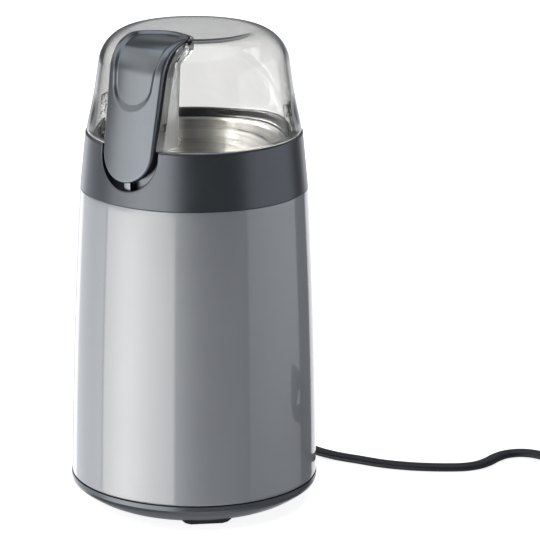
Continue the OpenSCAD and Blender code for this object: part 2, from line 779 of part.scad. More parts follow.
module switch_plunger() {
    color("whitesmoke") translate([0, plunger_y, 0]) {
        translate([0, 0, plunger_top_z - plunger_head_h]) cylinder(r = plunger_head_r, h = plunger_head_h);
        translate([0, 0, rod_tip_z + rod_tip_r + 1]) cylinder(r = rod_r, h = plunger_top_z - rod_tip_z - rod_tip_r - 2);
        translate([0, rod_in_y, rod_tip_z + rod_tip_r]) cylinder(r = rod_tip_r, h = 6);
        translate([0, rod_in_y, rod_tip_z + rod_tip_r]) sphere(r = rod_tip_r, $fn = 32);
        translate([-rod_tip_r, 0, rod_tip_z + rod_tip_r + 1]) cube([2 * rod_tip_r, rod_in_y, 3]);
    }
}

rod_in_y = -plunger_y - switch_face_y - switch_d / 2;

module plunger_spring() {
    turns = 5;
    steps = 12;
    wire = 0.5;
    r = rod_r + 0.2 + wire / 2;
    z0 = ring_z + ring_t + wire / 2;
    z1 = plunger_top_z - plunger_head_h - wire / 2;
    route = [for (i = [0:turns * steps]) [r * cos(i * 360 / steps), r * sin(i * 360 / steps),
        z0 + (z1 - z0) * i / (turns * steps)]];
    color("silver") translate([0, plunger_y, 0]) cable(route, wire, wire, 6);
}

// ---- wiring and cord ----

module inner_wires() {
    y0 = clamp_y - 6;
    top_z = switch_top_z - switch_h - 6;
    end_y = -switch_face_y - switch_d / 2;
    lower = [[1.3, y0, exit_z], [1.4, y0 - 2, exit_z], [4, y0 - 5, exit_z], [12, y0 - 7, exit_z + 1], [22, y0 - 9, exit_z + 3],
        [32, 11, exit_z + 7], [39, 4, exit_z + 16], [41.5, -3, exit_z + 30], [40.8, -10, top_z - 22],
        [38, -19, top_z - 12], [34.4, -25, top_z - 9], [30, -30, top_z - 8], [24, -34.8, top_z - 8],
        [17, -38, top_z - 7.6], [9, -39.4, top_z - 7]];
    color("brown") cable(concat(lower, [[4, -38.4, top_z - 5], [switch_x + 7, end_y, top_z - 2], [switch_x + 7, end_y, top_z]]), 2, 2, 8, [0.3, 0.2, 1]);
    color("royalblue") cable(concat([for (p = lower) [-p[0], p[1], p[2]]],
        [[-10, -38.4, top_z - 5], [switch_x - 7, end_y, top_z - 2], [switch_x - 7, end_y, top_z]]), 2, 2, 8, [-0.3, 0.2, 1]);
}

module cord_clamp() {
    color("dimgray") difference() {
        translate([-clamp_x - 3, clamp_y - 3, clamp_z]) cube([2 * clamp_x + 6, 6, clamp_t]);
        translate([-cord_w / 2 - 0.4, clamp_y - 4, clamp_z - 1]) cube([cord_w + 0.8, 8, 1.9]);
        for (x = [-1, 1]) translate([x * clamp_x, clamp_y, clamp_z - 1]) cylinder(r = screw_r + run, h = 20);
    }
}

module strain_relief() {
    n = relief_points - 1;
    w0 = 2 * exit_half_w - 0.4;
    t0 = 2 * exit_half_h - 0.4;
    color("dimgray") {
        tube(lead_route, 0, n, [for (i = [0:n]) w0 + (cord_w + 0.8 - w0) * max(0, i - 1) / (n - 1)],
            [for (i = [0:n]) t0 + (cord_t + 0.8 - t0) * max(0, i - 1) / (n - 1)], 12);
        translate([-exit_half_w - 1, relief_y, z_base + base_floor_t + 1.2]) cube([2 * exit_half_w + 2, 1.6, 7.6]);
    }
}

module power_cord() {
    n = len(lead_route) - 1;
    color("black") tube(lead_route, relief_points - 1, n, [for (i = [0:n]) cord_w], [for (i = [0:n]) cord_t]);
    color("black") cable([[0, clamp_y - 6, exit_z], [0, clamp_y, exit_z], [0, relief_y, exit_z]], cord_w, cord_t);
}

module cord_coil() {
    color("black") translate([coil_at[0], coil_at[1], coil_z0]) rotate_extrude($fn = 96)
        translate([(coil_r0 + coil_r1) / 2, (coil_z1 - coil_z0) / 2]) rounded(coil_r1 - coil_r0, coil_z1 - coil_z0, 1.5);
}

module cord_tail() {
    color("black") cable(tail_route, cord_w, cord_t);
}

module coil_tie() {
    color("gray") translate([coil_at[0], coil_at[1], 0]) rotate(tie_at) rotate_extrude(angle = tie_angle, $fn = 96)
        translate([(coil_r0 + coil_r1) / 2, (coil_z1 + tie_t) / 2]) difference() {
            rounded(coil_r1 - coil_r0 + 2 * tie_t, coil_z1 + tie_t, 2);
            rounded(coil_r1 - coil_r0, coil_z1 - coil_z0, 1.5);
        }
}

// puts the children where the cord ends, with +X along the plug
module at_plug() {
    end = tail_route[len(tail_route) - 1];
    translate([end[0], end[1], coil_z1]) rotate(plug_turn) children();
}

module plug_body() {
    bevel = 3;
    color("black") at_plug() {
        translate([0, -4.2, plug_t / 2 - 3.2]) cube([plug_neck_l + 3, 8.4, 6.4]);
        intersection() {
            linear_extrude(plug_t) polygon([[plug_neck_l, -6], [plug_neck_l + 6, -9], [plug_neck_l + 15, -plug_half_w],
                [plug_neck_l + plug_l, -plug_half_w], [plug_neck_l + plug_l, plug_half_w],
                [plug_neck_l + 15, plug_half_w], [plug_neck_l + 6, 9], [plug_neck_l, 6]]);
            rotate([90, 0, 90]) linear_extrude(100) polygon([[-plug_half_w + bevel, 0], [plug_half_w - bevel, 0],
                [plug_half_w, bevel], [plug_half_w, plug_t - bevel], [plug_half_w - bevel, plug_t],
                [bevel - plug_half_w, plug_t], [-plug_half_w, plug_t - bevel], [-plug_half_w, bevel]]);
        }
    }
}

module plug_pins() {
    color("silver") at_plug() for (s = [-1, 1])
        translate([plug_neck_l + plug_l, s * pin_half, plug_t / 2]) rotate([0, 90, 0]) {
            cylinder(r = pin_r, h = pin_l - pin_r, $fn = 32);
            translate([0, 0, pin_l - pin_r]) sphere(r = pin_r, $fn = 32);
        }
}

// ---- lid and push button ----

// section of the lid's outside, moved out by grow
module lid_section(grow, low_z) {
    r = lid_shoulder_r + grow;
    side = grow / cos(lid_draft);
    low_r = lid_side_r + side + (z_lid + lid_foot_h - low_z) * tan(lid_draft);
    polygon([[0, low_z], [low_r, low_z],
        [lid_shoulder_x + r * cos(lid_draft), lid_shoulder_z + r * sin(lid_draft)],
        [lid_shoulder_x, lid_shoulder_z + r * sin(lid_draft)], [lid_shoulder_x, lid_shoulder_z + r],
        [0, lid_shoulder_z + r]]);
    intersection() {
        translate([lid_shoulder_x, lid_shoulder_z]) circle(r = r, $fn = 96);
        translate([lid_shoulder_x - 1, lid_shoulder_z]) square([r + 2, r + 2]);
    }
}

// front outline of the button in X and Z, moved out by grow
module button_front(grow) {
    w0 = button_half_w + grow;
    w1 = button_top_half_w + grow;
    translate([0, button_low_z]) circle(r = w0);
    polygon([[-w0, button_low_z], [w0, button_low_z], [w1, z_top + 5], [-w1, z_top + 5]]);
}

// top outline of the button in X and Y, moved out by grow
module button_plan(grow) {
    w = button_top_half_w + grow;
    l = button_end_l + grow;
    translate([-30, -60]) square([60, 60 - button_end_y]);
    translate([0, -button_end_y]) scale([w / l, 1]) circle(r = l);
}

// everything inside the button's outline, moved out by grow
module button_column(grow) {
    intersection() {
        press_y(0, 60) button_front(grow);
        translate([0, 0, z_collar]) linear_extrude(z_top + 10 - z_collar) button_plan(grow);
    }
}

// solid that fills the lid's section, moved out by grow; its top stays button_top_gap proud at most
module lid_solid(grow, top_grow) {
    intersection() {
        rotate_extrude($fn = 144) lid_section(grow, button_end_z - 10);
        cylinder(r = 60, h = z_top + top_grow);
    }
}

module channel_void() {
    back = channel_back;
    difference() {
        button_column(channel_clear);
        translate([-30, 0, 0]) rotate([90, 0, 90]) linear_extrude(60) polygon([[-back, z_collar - 30],
            [-back, channel_bend_z], [-channel_top_y, channel_top_z],
            [-(button_end_y - button_end_l - channel_end_clear), channel_top_z], [30, channel_top_z],
            [30, z_collar - 30]]);
        translate([0, 0, z_lid - 30]) cylinder(r = pocket_r - 0.4, h = 30 + channel_floor_t, $fn = 144);
    }
}

module channel_block() {
    back = channel_back - channel_wall;
    difference() {
        button_column(channel_clear + channel_wall);
        translate([-30, 0, 0]) rotate([90, 0, 90]) linear_extrude(60) polygon([[-back, z_collar - 30],
            [-back, channel_bend_z - 1], [-channel_top_y + 0.6, channel_top_z - 1.3], [30, channel_top_z - 1.3],
            [30, z_collar - 30]]);
    }
}

module lid() {
    inner = -lid_t;
    color("lightcyan") difference() {
        union() {
            difference() {
                union() {
                    intersection() {
                        lid_solid(0, 0);
                        translate([0, 0, z_lid]) cylinder(r = 60, h = 60);
                    }
                    translate([0, 0, z_lid]) cylinder(r = lid_foot_r, h = lid_foot_h - 0.4, $fn = 144);
                    translate([0, 0, z_lid + lid_foot_h - 0.4])
                        cylinder(r1 = lid_foot_r, r2 = lid_side_r, h = 0.4, $fn = 144);
                    ring(skirt_r - skirt_t, skirt_r, z_lid - skirt_h, z_lid + 1);
                }
                difference() {
                    intersection() {
                        lid_solid(inner, inner);
                        translate([0, 0, z_lid - 0.5]) cylinder(r = 60, h = 60);
                    }
                    channel_block();
                }
                translate([-notch_r - pocket_wall - 0.6, -60, z_lid - 20])
                    cube([2 * (notch_r + pocket_wall + 0.6), 60 - 20, 20]);
            }
        }
        channel_void();
        translate([-button_half_w - lug_out - 0.4, -lug_y1 - fit, lug_z - button_travel - fit])
            cube([2 * (button_half_w + lug_out + 0.4), lug_y1 - lug_y0 + 2 * fit, lug_h + button_travel + fit + 0.2]);
    }
}

module push_button() {
    recess_w = button_half_w - recess_margin;
    color("slategray") {
        difference() {
            intersection() {
                button_column(0);
                lid_solid(button_proud, button_top_gap);
            }
            lid_solid(button_proud - button_t, button_top_gap - button_t);
            difference() {
                intersection() {
                    press_y(0, 60) recess_front(recess_w);
                    translate([0, 0, z_collar]) linear_extrude(z_top) button_plan(-1.4);
                }
                lid_solid(button_proud - recess_d, button_top_gap - recess_d);
            }
        }
        difference() {
            intersection() {
                button_column(0);
                lid_solid(button_proud - button_t + 0.5, button_top_gap - 1);
                translate([-30, -60, 0]) cube([60, 60 - channel_back - 0.4, z_top]);
            }
            lid_solid(button_proud - button_side_d, -4);
            press_y(0, 60) button_front(-button_side_t);
        }
        translate([-prong_w / 2, -prong_back - prong_depth, prong_tip_z])
            cube([prong_w, prong_depth, button_end_z + 6 - prong_tip_z]);
        for (s = [-1, 1]) {
            translate([s > 0 ? button_half_w - 1.4 : -button_half_w - lug_out, -lug_y1, lug_z])
                cube([1.4 + lug_out, lug_y1 - lug_y0, lug_h]);
            translate([s > 0 ? button_half_w - 1.4 : -button_half_w, -lug_root, lug_z])
                cube([1.4, lug_root - lug_y0, lug_h]);
        }
    }
}

// outline of the thumb recess seen from the front
module recess_front(half_w) {
    translate([0, recess_end_z + half_w]) circle(r = half_w);
    polygon([[-half_w, recess_end_z + half_w], [half_w, recess_end_z + half_w],
        [half_w + 2.2, z_top + 5], [-half_w - 2.2, z_top + 5]]);
}

body_shell();
base_cover();
rubber_feet();
collar();
chassis();
grinding_bowl();
bowl_gasket();
shaft_seal();
upper_bearing();
lower_bearing();
upper_bracket();
lower_bracket();
stator();
field_coils();
rubber_mounts();
brush_holders();
carbon_brushes();
motor_screws();
base_screws();
collar_screws();
microswitch();
switch_screws();
switch_terminals();
plunger_spring();
inner_wires();
cord_clamp();
clamp_screws();
strain_relief();
power_cord();
cord_coil();
cord_tail();
coil_tie();
plug_body();
plug_pins();
lid();
push_button();
switch_plunger();
switch_lever();
motor_shaft();
armature();
armature_windings();
commutator();
cooling_fan();
blade();
blade_nut();
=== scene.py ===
"""Electric spice grinder: its looks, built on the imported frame. Lengths in this file are millimetres."""

import bmesh
import bpy
import numpy as np
from bpy.props import FloatProperty, FloatVectorProperty, IntProperty, PointerProperty
from bpy.types import Operator, Panel, PropertyGroup
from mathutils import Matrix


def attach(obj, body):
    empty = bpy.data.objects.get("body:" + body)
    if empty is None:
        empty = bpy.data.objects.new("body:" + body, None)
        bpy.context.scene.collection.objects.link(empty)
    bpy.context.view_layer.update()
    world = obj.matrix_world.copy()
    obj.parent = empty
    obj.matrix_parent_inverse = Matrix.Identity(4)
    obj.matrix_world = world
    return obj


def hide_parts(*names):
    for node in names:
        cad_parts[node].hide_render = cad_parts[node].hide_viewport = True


bl_info = {
    "name": "Spice Grinder",
    "version": (1, 0, 0),
    "blender": (4, 5, 0),
    "location": "3D View > Sidebar > Grinder",
    "description": "Builds the visible pieces of an electric spice grinder on its packed frame",
    "category": "Add Mesh",
}

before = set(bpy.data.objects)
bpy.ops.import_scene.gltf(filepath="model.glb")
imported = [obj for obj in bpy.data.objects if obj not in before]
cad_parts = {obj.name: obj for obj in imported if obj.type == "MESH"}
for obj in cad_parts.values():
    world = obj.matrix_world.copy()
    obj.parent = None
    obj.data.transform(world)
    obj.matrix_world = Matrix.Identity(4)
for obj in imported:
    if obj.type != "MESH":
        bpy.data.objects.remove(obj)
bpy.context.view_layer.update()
MM = 0.001
PI = np.pi

# heights of the seams
Z_SHELL, Z_COLLAR, Z_LID = 11.0, 130.4, 153.3
# shoulder of the lid: middle and radius of its arc, and the foot of its side line
SHOULDER_R, SHOULDER_X, SHOULDER_Z = 15.0, 23.2, 179.5
FOOT_R, FOOT_Z = 41.95, 155.5
# push button: round lower end, slow widening and elliptic upper end
LOW_Z, LOW_HALF, HIGH_Z, HIGH_HALF = 152.1, 12.0, 199.5, 13.8
END_Y, END_L = -25.4, 12.9
# how far the button stands proud of the lid, and the top of its flat
PROUD, BUTTON_TOP = 1.8, 195.1
# lowest and highest corners of the prong under the button, and of the slot for it in the collar
PRONG = (-1.6, -43.1, 132.4), (1.6, -40.1, 144.5)
SLOT = (-1.95, -44.0, 134.4), (1.95, -39.9, 137.2)
# collar: notch for the button, depth and half width of its pocket, then the shelf for the lid's skirt and the bowl:
# its height, its inner radius, that of the rim above it and that of the mouth
NOTCH_R, NOTCH_Z, POCKET_R, POCKET_HALF = 13.75, 150.35, 39.6, 15.35
SHELF_Z, SHELF_R, RIM_R, MOUTH_R = 147.0, 38.0, 41.8, 35.9
# lid: thickness of the wall, and how much wider the channel is than the button
LID_WALL, CHANNEL_GAP = 1.8, 0.45
# far edge of the channel's wall, outside and inside: y of its upright plane, height where it bends, and the y and
# height where its slope meets the floor
CHANNEL_OUT = -29.1, 186.8, -20.0, 190.2
CHANNEL_IN = -27.4, 186.0, -19.4, 189.1
# camera: focal length, shift, distance along the floor, height, turn from the front and tilt
LENS, SHIFT = 216.8, 0.1404
CAMERA_AWAY, CAMERA_HIGH, CAMERA_TURN, CAMERA_TILT = 1267.18, 444.63, 37.5, 15.43
FLOOR_MIDDLE = 30, 60, 0
# middle line of the flat cord, from inside the base to the coil, and from the coil to the plug
LEAD = [[0, 27, 7], [0, 34, 7], [0, 40.6, 7], [0, 48, 7], [0, 52, 7], [0.6, 56.3, 6.8], [2.2, 60.2, 6.3],
        [4.8, 63.3, 5.3], [8.2, 65.6, 4.2], [12.2, 67.2, 3.1], [16.5, 68.4, 2.2], [23.5, 69.8, 1.65],
        [32.5, 71.4, 1.6], [43.5, 73.3, 1.6], [53.3, 76.8, 1.6], [61.0, 80.9, 1.6], [68.0, 85.7, 1.6],
        [73.4, 90.5, 1.6], [76.6, 96.0, 1.6], [77.6, 102.5, 1.6], [77.4, 109, 1.6], [78.4, 114.9, 1.65],
        [81.7, 119.6, 1.75], [86.6, 121.9, 1.9], [92.2, 121.9, 2.1], [97.6, 120.6, 2.3], [103, 119.4, 2.4]]
TAIL = [[98.8, 174.3, 5.9], [94.4, 170.2, 6.6], [91.4, 165.5, 7.6], [89.6, 160.4, 8.6], [90, 154.5, 9.9],
        [91.4, 151, 10.8], [93.7, 148, 11.8], [96.7, 145.7, 12.9], [100.2, 143.7, 14.2], [103.7, 141.7, 14.2]]
# middle of the coil and the radius of its outer turns, and where the plug starts and its turn
COIL, COIL_R = (120.0, 149.0), 33.0
PLUG_AT, PLUG_TURN, PLUG_L = (103.7, 141.7, 14.25), -30.0, 42.0


# ---------------------------------------------------------------- shapes

def grid(points, close_rows=False, close_cols=False):
    """Points in rows and columns, with a quad between each four neighbours."""
    n, m = points.shape[:2]
    i = np.arange(n if close_rows else n - 1)[:, None]
    j = np.arange(m if close_cols else m - 1)[None, :]
    k, l = (i + 1) % n, (j + 1) % m
    quads = np.stack([i * m + j, i * m + l, k * m + l, k * m + j], -1)
    return points.reshape(-1, 3), quads.reshape(-1, 4)


def mirrored(part):
    """The same surface with x turned to -x."""
    return part[0] * (-1, 1, 1), part[1]


def between(a, b, steps=2):
    """Ruled surface: the straight line from curve a to curve b at each point of them."""
    t = np.linspace(0, 1, steps)[:, None, None]
    return a[None] * (1 - t) + b[None] * t


def bend(a, corner, b, steps=5):
    """Rounded edge: the parabola from curve a to curve b that is pulled to the corner curve."""
    t = np.linspace(0, 1, steps)[:, None, None]
    return a[None] * (1 - t) ** 2 + corner[None] * 2 * t * (1 - t) + b[None] * t ** 2


def soften(points, radius, steps=6):
    """Closed section whose corners are parabolas that start a radius before and end one after the corner."""
    p = np.asarray(points, float)
    to_last, to_next = np.roll(p, 1, 0) - p, np.roll(p, -1, 0) - p
    last_l = np.maximum(np.linalg.norm(to_last, axis=1), 1e-9)[:, None]
    next_l = np.maximum(np.linalg.norm(to_next, axis=1), 1e-9)[:, None]
    r = np.minimum(np.broadcast_to(radius, len(p))[:, None], 0.45 * np.minimum(last_l, next_l))
    curves = bend(p + to_last / last_l * r, p, p + to_next / next_l * r, steps)
    return curves.transpose(1, 0, 2).reshape(-1, p.shape[1])


def turned(section, steps=192):
    """Closed section of radii and heights carried round Z: x = r cos a, y = r sin a."""
    a = np.linspace(0, 2 * PI, steps, endpoint=False)[:, None]
    r, z = section[:, 0][None], section[:, 1][None]
    return grid(np.stack([r * np.cos(a), r * np.sin(a), z + 0 * a], -1), True, True)


def swept(path, section, up=(0.0, 0.0, 1.0)):
    """Closed section carried along a path: point + across * u + upward * v, with both ends closed."""
    d = np.gradient(path, axis=0)
    d /= np.linalg.norm(d, axis=1)[:, None]
    across = np.cross(d, up)
    across /= np.linalg.norm(across, axis=1)[:, None]
    upward = np.cross(across, d)
    section = np.broadcast_to(section, (len(path),) + section.shape[-2:])
    rings = path[:, None] + across[:, None] * section[..., :1] + upward[:, None] * section[..., 1:]
    ends = [np.repeat(path[k][None, None], rings.shape[1], 1) for k in (0, -1)]
    return grid(np.concatenate([ends[0], rings, ends[1]]), False, True)


def oblong(w, t, steps=28, power=2.0):
    """Rounded section of width w and thickness t: a superellipse of the given power."""
    a = np.linspace(0, 2 * PI, steps, endpoint=False)
    unit = np.stack([np.cos(a), np.sin(a)], -1)
    return np.sign(unit) * np.abs(unit) ** (2 / power) * (w / 2, t / 2)


def block(low, high, bevel=0.25):
    """Small block: four rounded outlines above each other, the first and last drawn in by the bevel."""
    low, high = np.asarray(low, float), np.asarray(high, float)
    mid, half = (low + high) / 2, (high - low) / 2
    corners = np.array([[1, 1], [-1, 1], [-1, -1], [1, -1]], float)
    rings = []
    for z, shrink in ((-1, 1), (-1 + bevel / half[2], 0), (1 - bevel / half[2], 0), (1, 1)):
        flat = soften(corners * (half[:2] - bevel * shrink), bevel, 3)
        rings.append(np.column_stack([flat + mid[:2], np.full(len(flat), mid[2] + z * half[2])]))
    ends = [np.broadcast_to([mid[0], mid[1], mid[2] + k * half[2]], rings[0].shape) for k in (-1, 1)]
    return grid(np.stack([ends[0]] + rings + [ends[1]]), False, True)


def flowing(points, step=1.0):
    """Smooth line through the points (Catmull-Rom), walked at an even step."""
    p = np.asarray(points, float)
    p = np.concatenate([2 * p[:1] - p[1:2], p, 2 * p[-1:] - p[-2:-1]])
    a, b, c, d = (p[k:len(p) - 3 + k, None] for k in range(4))
    t = np.linspace(0, 1, 12, endpoint=False)[None, :, None]
    line = 0.5 * (2 * b + (c - a) * t + (2 * a - 5 * b + 4 * c - d) * t ** 2 + (3 * b - a - 3 * c + d) * t ** 3)
    line = np.concatenate([line.reshape(-1, 3), p[-2:-1]])
    run = np.concatenate([[0], np.cumsum(np.linalg.norm(np.diff(line, axis=0), axis=1))])
    at = np.linspace(0, run[-1], int(run[-1] / step) + 2)
    return np.stack([np.interp(at, run, line[:, k]) for k in range(3)], -1)


def smooth(t):
    """Soft step from 0 to 1: 3 t^2 - 2 t^3, held at its ends."""
    t = np.clip(t, 0, 1)
    return t * t * (3 - 2 * t)


# ---------------------------------------------------------------- lid and button share these lines

def dome(grow, low, top=None, soft=0.0):
    """Half section of the lid moved out by grow, from height low to the axis: side line, shoulder arc, flat top."""
    draft = np.arccos(SHOULDER_R / np.hypot(FOOT_R - SHOULDER_X, SHOULDER_Z - FOOT_Z)) \
        - np.arctan2(SHOULDER_Z - FOOT_Z, FOOT_R - SHOULDER_X)
    r = SHOULDER_R + grow
    a = np.linspace(draft, PI / 2, 60)
    arc = np.stack([SHOULDER_X + r * np.cos(a), SHOULDER_Z + r * np.sin(a)], -1)
    z = np.linspace(low, arc[0, 1], 60, endpoint=False)
    side = np.stack([arc[0, 0] + (arc[0, 1] - z) * np.tan(draft), z], -1)
    line = np.concatenate([side, arc])
    if top is not None:
        cut = SHOULDER_X + np.sqrt(r * r - (top - SHOULDER_Z) ** 2)
        line = line[line[:, 1] < top - 0.01]
        corner = np.array([cut, top])
        start = line[np.hypot(*(line - corner).T) > soft]
        line = np.concatenate([start, bend(start[-1:], corner[None], corner[None] - [[soft, 0]], 24)[1:, 0]])
    flat = np.linspace(line[-1, 0], 0, 30)[1:]
    return np.concatenate([line, np.stack([flat, np.full(len(flat), line[-1, 1])], -1)])


def half_width(z, grow):
    """Half width of the button's outline at height z: a circle below, a slow widening above."""
    round_end = np.sqrt(np.maximum((LOW_HALF + grow) ** 2 - (z - LOW_Z) ** 2, 0))
    widening = LOW_HALF + grow + (HIGH_HALF - LOW_HALF) * (z - LOW_Z) / (HIGH_Z - LOW_Z)
    return np.where(z < LOW_Z, round_end, widening)


def outline(section, grow, low, side_steps=70, end_steps=40, low_steps=28):
    """Right half of the button's outline on a half section, from its low end to its tip: upright planes at the
    half width, then an ellipse in plan. Where low is None it starts at the round end's lowest point."""
    r, z = section.T
    rising = z[:np.argmax(z) + 1]
    radius = r[:len(rising)]
    zz = np.linspace(LOW_Z, rising[-1] - 0.02, 900)
    y = -np.sqrt(np.maximum(np.interp(zz, rising, radius) ** 2 - half_width(zz, grow) ** 2, 0))
    z_end = np.interp(END_Y, y, zz)
    along = np.concatenate([[0], np.cumsum(np.hypot(*np.diff(section, axis=0).T))])[:len(rising)]
    start = LOW_Z if low is None else low
    s = np.linspace(np.interp(start, rising, along), np.interp(z_end, rising, along), side_steps)
    side_z = np.interp(s, along, rising)
    if low is None:
        t = np.linspace(0, PI / 2, low_steps, endpoint=False)
        side_z = np.concatenate([LOW_Z - (LOW_HALF + grow) * np.cos(t), side_z])
    x = half_width(side_z, grow)
    side = np.stack([x, -np.sqrt(np.interp(side_z, rising, radius) ** 2 - x * x), side_z], -1)
    t = np.linspace(0, PI / 2, end_steps + 1)[1:]
    ex, ey = x[-1] * np.cos(t), END_Y + (END_L + grow) * np.sin(t)
    ez = np.interp(-np.hypot(ex, ey), -r, z)
    return np.concatenate([side, np.stack([ex, ey, ez], -1)])


def inward(line):
    """Step of one millimetre under the surface at each point of an outline, kept in the button's side wall."""
    rho = np.hypot(line[:, 0], line[:, 1])
    slope = np.gradient(line[:, 2]) / np.minimum(np.gradient(rho), -1e-4)
    n_r = -slope / np.hypot(slope, 1)
    n_z = 1 / np.hypot(slope, 1)
    n_y = n_r * line[:, 1] / rho * smooth((END_Y - line[:, 1]) / 5)
    size = n_y ** 2 + n_z ** 2
    return np.stack([0 * n_y, -n_y / size, -n_z / size], -1)


def round_rows(line, v):
    """Rows of arcs about Z that run from each outline point round the back to its mirror point."""
    rho, phi = np.hypot(line[:, 0], line[:, 1])[:, None], np.arctan2(line[:, 1], line[:, 0])[:, None]
    a = phi + (PI - 2 * phi) * v[None]
    return np.stack([rho * np.cos(a), rho * np.sin(a), line[:, 2:] + 0 * a], -1)


def front_rows(line, v):
    """Rows of arcs about Z that run across the front, from each outline point to its mirror point."""
    rho, half = np.hypot(line[:, 0], line[:, 1])[:, None], np.arctan2(line[:, 0], -line[:, 1])[:, None]
    a = half * v[None]
    return np.stack([rho * np.sin(a), -rho * np.cos(a), line[:, 2:] + 0 * a], -1)


# ---------------------------------------------------------------- pieces and finishes

SHARP = 38.0                # angle in degrees from which an edge is shaded sharp
WELD = 0.003                # two points nearer than this are one
RELIEF = 0.4                # height of a finish's fine relief at full strength
WIDE_GRAIN = 38.0           # scale of the slow change of shade over a piece
NOISE_RANGE = 0.35, 0.65    # values that the mixed noise mostly keeps between


def closed(name, parts, fill=False):
    """Object whose mesh joins the surfaces at their seams; it has no open edge and its faces point outwards."""
    start = np.cumsum([0] + [len(p) for p, q in parts])
    mesh = bpy.data.meshes.new(name)
    mesh.from_pydata(np.concatenate([p for p, q in parts]) * MM, [],
                     np.concatenate([q + s for (p, q), s in zip(parts, start)]))
    bm = bmesh.new()
    bm.from_mesh(mesh)
    bmesh.ops.remove_doubles(bm, verts=bm.verts, dist=WELD * MM)
    if fill:
        bmesh.ops.holes_fill(bm, edges=[e for e in bm.edges if e.is_boundary], sides=0)
    open_edges = sum(1 for e in bm.edges if not e.is_manifold)
    if open_edges:
        raise RuntimeError(f"{name} has {open_edges} open edges")
    bmesh.ops.recalc_face_normals(bm, faces=bm.faces)
    bm.to_mesh(mesh)
    bm.free()
    made = bpy.data.objects.new(name, mesh)
    bpy.context.scene.collection.objects.link(made)
    return made


def new_piece(name, parts, finish, body, stands_for=(), sharp=SHARP, fill=False):
    """Makes a closed piece of the surfaces, gives it its finish and hands it to the frame."""
    piece = closed(name, parts, fill)
    piece.data.shade_smooth()
    piece.data.set_sharp_from_angle(angle=np.radians(sharp))
    piece.data.materials.append(finish)
    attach(piece, body)
    if stands_for:
        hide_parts(*stands_for)
    return piece


def second_finish(piece, finish, wanted):
    """Gives another finish to the faces whose middle and direction the test picks out; lengths in millimetres."""
    mesh = piece.data
    mesh.materials.append(finish)
    middle, way = np.empty(len(mesh.polygons) * 3), np.empty(len(mesh.polygons) * 3)
    mesh.polygons.foreach_get("center", middle)
    mesh.polygons.foreach_get("normal", way)
    picked = wanted(middle.reshape(-1, 3) / MM, way.reshape(-1, 3))
    mesh.polygons.foreach_set("material_index", picked.astype(np.int32))


def cut(piece, part):
    """Takes the room of a closed surface out of the piece."""
    cutter = closed("cutter", [part])
    work = piece.modifiers.new("slot", "BOOLEAN")
    work.operation, work.solver, work.object = "DIFFERENCE", "EXACT", cutter
    whole = piece.data
    piece.data = bpy.data.meshes.new_from_object(piece.evaluated_get(bpy.context.evaluated_depsgraph_get()))
    piece.modifiers.clear()
    bpy.data.objects.remove(cutter)
    bpy.data.meshes.remove(whole)
    piece.data.set_sharp_from_angle(angle=np.radians(SHARP))


class Tree:
    """Builds nodes in few words: an input gets a plain value or the output of another node."""

    def __init__(self, tree):
        self.nodes, self.links = tree.nodes, tree.links

    def put(self, value, socket):
        """Gives a value or a link to a socket."""
        if isinstance(value, bpy.types.NodeSocket):
            self.links.new(value, socket)
        else:
            socket.default_value = value

    def add(self, kind, inputs=None, out=0, **settings):
        """Adds a node with its settings and inputs, and gives back one of its outputs."""
        node = self.nodes.new("ShaderNode" + kind)
        for name, value in settings.items():
            setattr(node, name, value)
        for socket, value in (inputs or {}).items():
            self.put(value, node.inputs[socket])
        return node.outputs[out]

    def calc(self, operation, a, b=0.0):
        """Adds a sum of one or two inputs."""
        return self.add("Math", {0: a, 1: b}, operation=operation)


def finish_of(name, colour, rough, metallic=0.0, coat=0.0, coat_rough=0.06, grain=900.0, bump=0.02, vary=0.06,
              stretch=(1, 1, 1), rough_vary=0.05, transmission=0.0, ior=1.5, specular=0.5, aniso=0.0, coat_ior=1.5):
    """Material whose colour, roughness and fine relief follow noise on the piece's own coordinates."""
    if name in bpy.data.materials:
        return bpy.data.materials[name]
    mat = bpy.data.materials.new(name)
    mat.use_nodes = True
    tree = Tree(mat.node_tree)
    shader = tree.nodes["Principled BSDF"].inputs
    for socket, value in (("Base Color", tuple(colour) + (1,)), ("Metallic", metallic), ("IOR", ior),
                          ("Specular IOR Level", specular), ("Transmission Weight", transmission),
                          ("Anisotropic", aniso), ("Coat Weight", coat), ("Coat Roughness", coat_rough),
                          ("Coat IOR", coat_ior)):
        shader[socket].default_value = value
    where = tree.add("TexCoord", out="Object")
    stretched = tree.add("Mapping", {"Vector": where, "Scale": stretch})
    fine = tree.add("TexNoise", {"Vector": stretched, "Scale": grain, "Detail": 4.0})
    wide = tree.add("TexNoise", {"Vector": where, "Scale": WIDE_GRAIN, "Detail": 3.0})
    both = tree.add("Math", {0: fine, 1: 0.5, 2: tree.calc("MULTIPLY", wide, 0.5)}, operation="MULTIPLY_ADD")

    def spread(least, most):
        return tree.add("MapRange", {"Value": both, "From Min": NOISE_RANGE[0], "From Max": NOISE_RANGE[1],
                                     "To Min": least, "To Max": most})

    if vary:
        low, high = (tuple(min(1, c * k) for c in colour) + (1,) for k in (1 - vary, 1 + vary))
        shade = tree.add("Mix", {"Factor": spread(0.0, 1.0), "A": low, "B": high}, "Result", data_type="RGBA")
        tree.put(shade, shader["Base Color"])
    tree.put(spread(max(rough - rough_vary, 0.0), rough + rough_vary), shader["Roughness"])
    if aniso:
        tree.put(tree.add("Tangent", direction_type="RADIAL", axis="Z"), shader["Tangent"])
        shader["Anisotropic Rotation"].default_value = 0.25
    if bump:
        tree.put(tree.add("Bump", {"Strength": bump, "Distance": RELIEF * MM, "Height": fine}), shader["Normal"])
    return mat


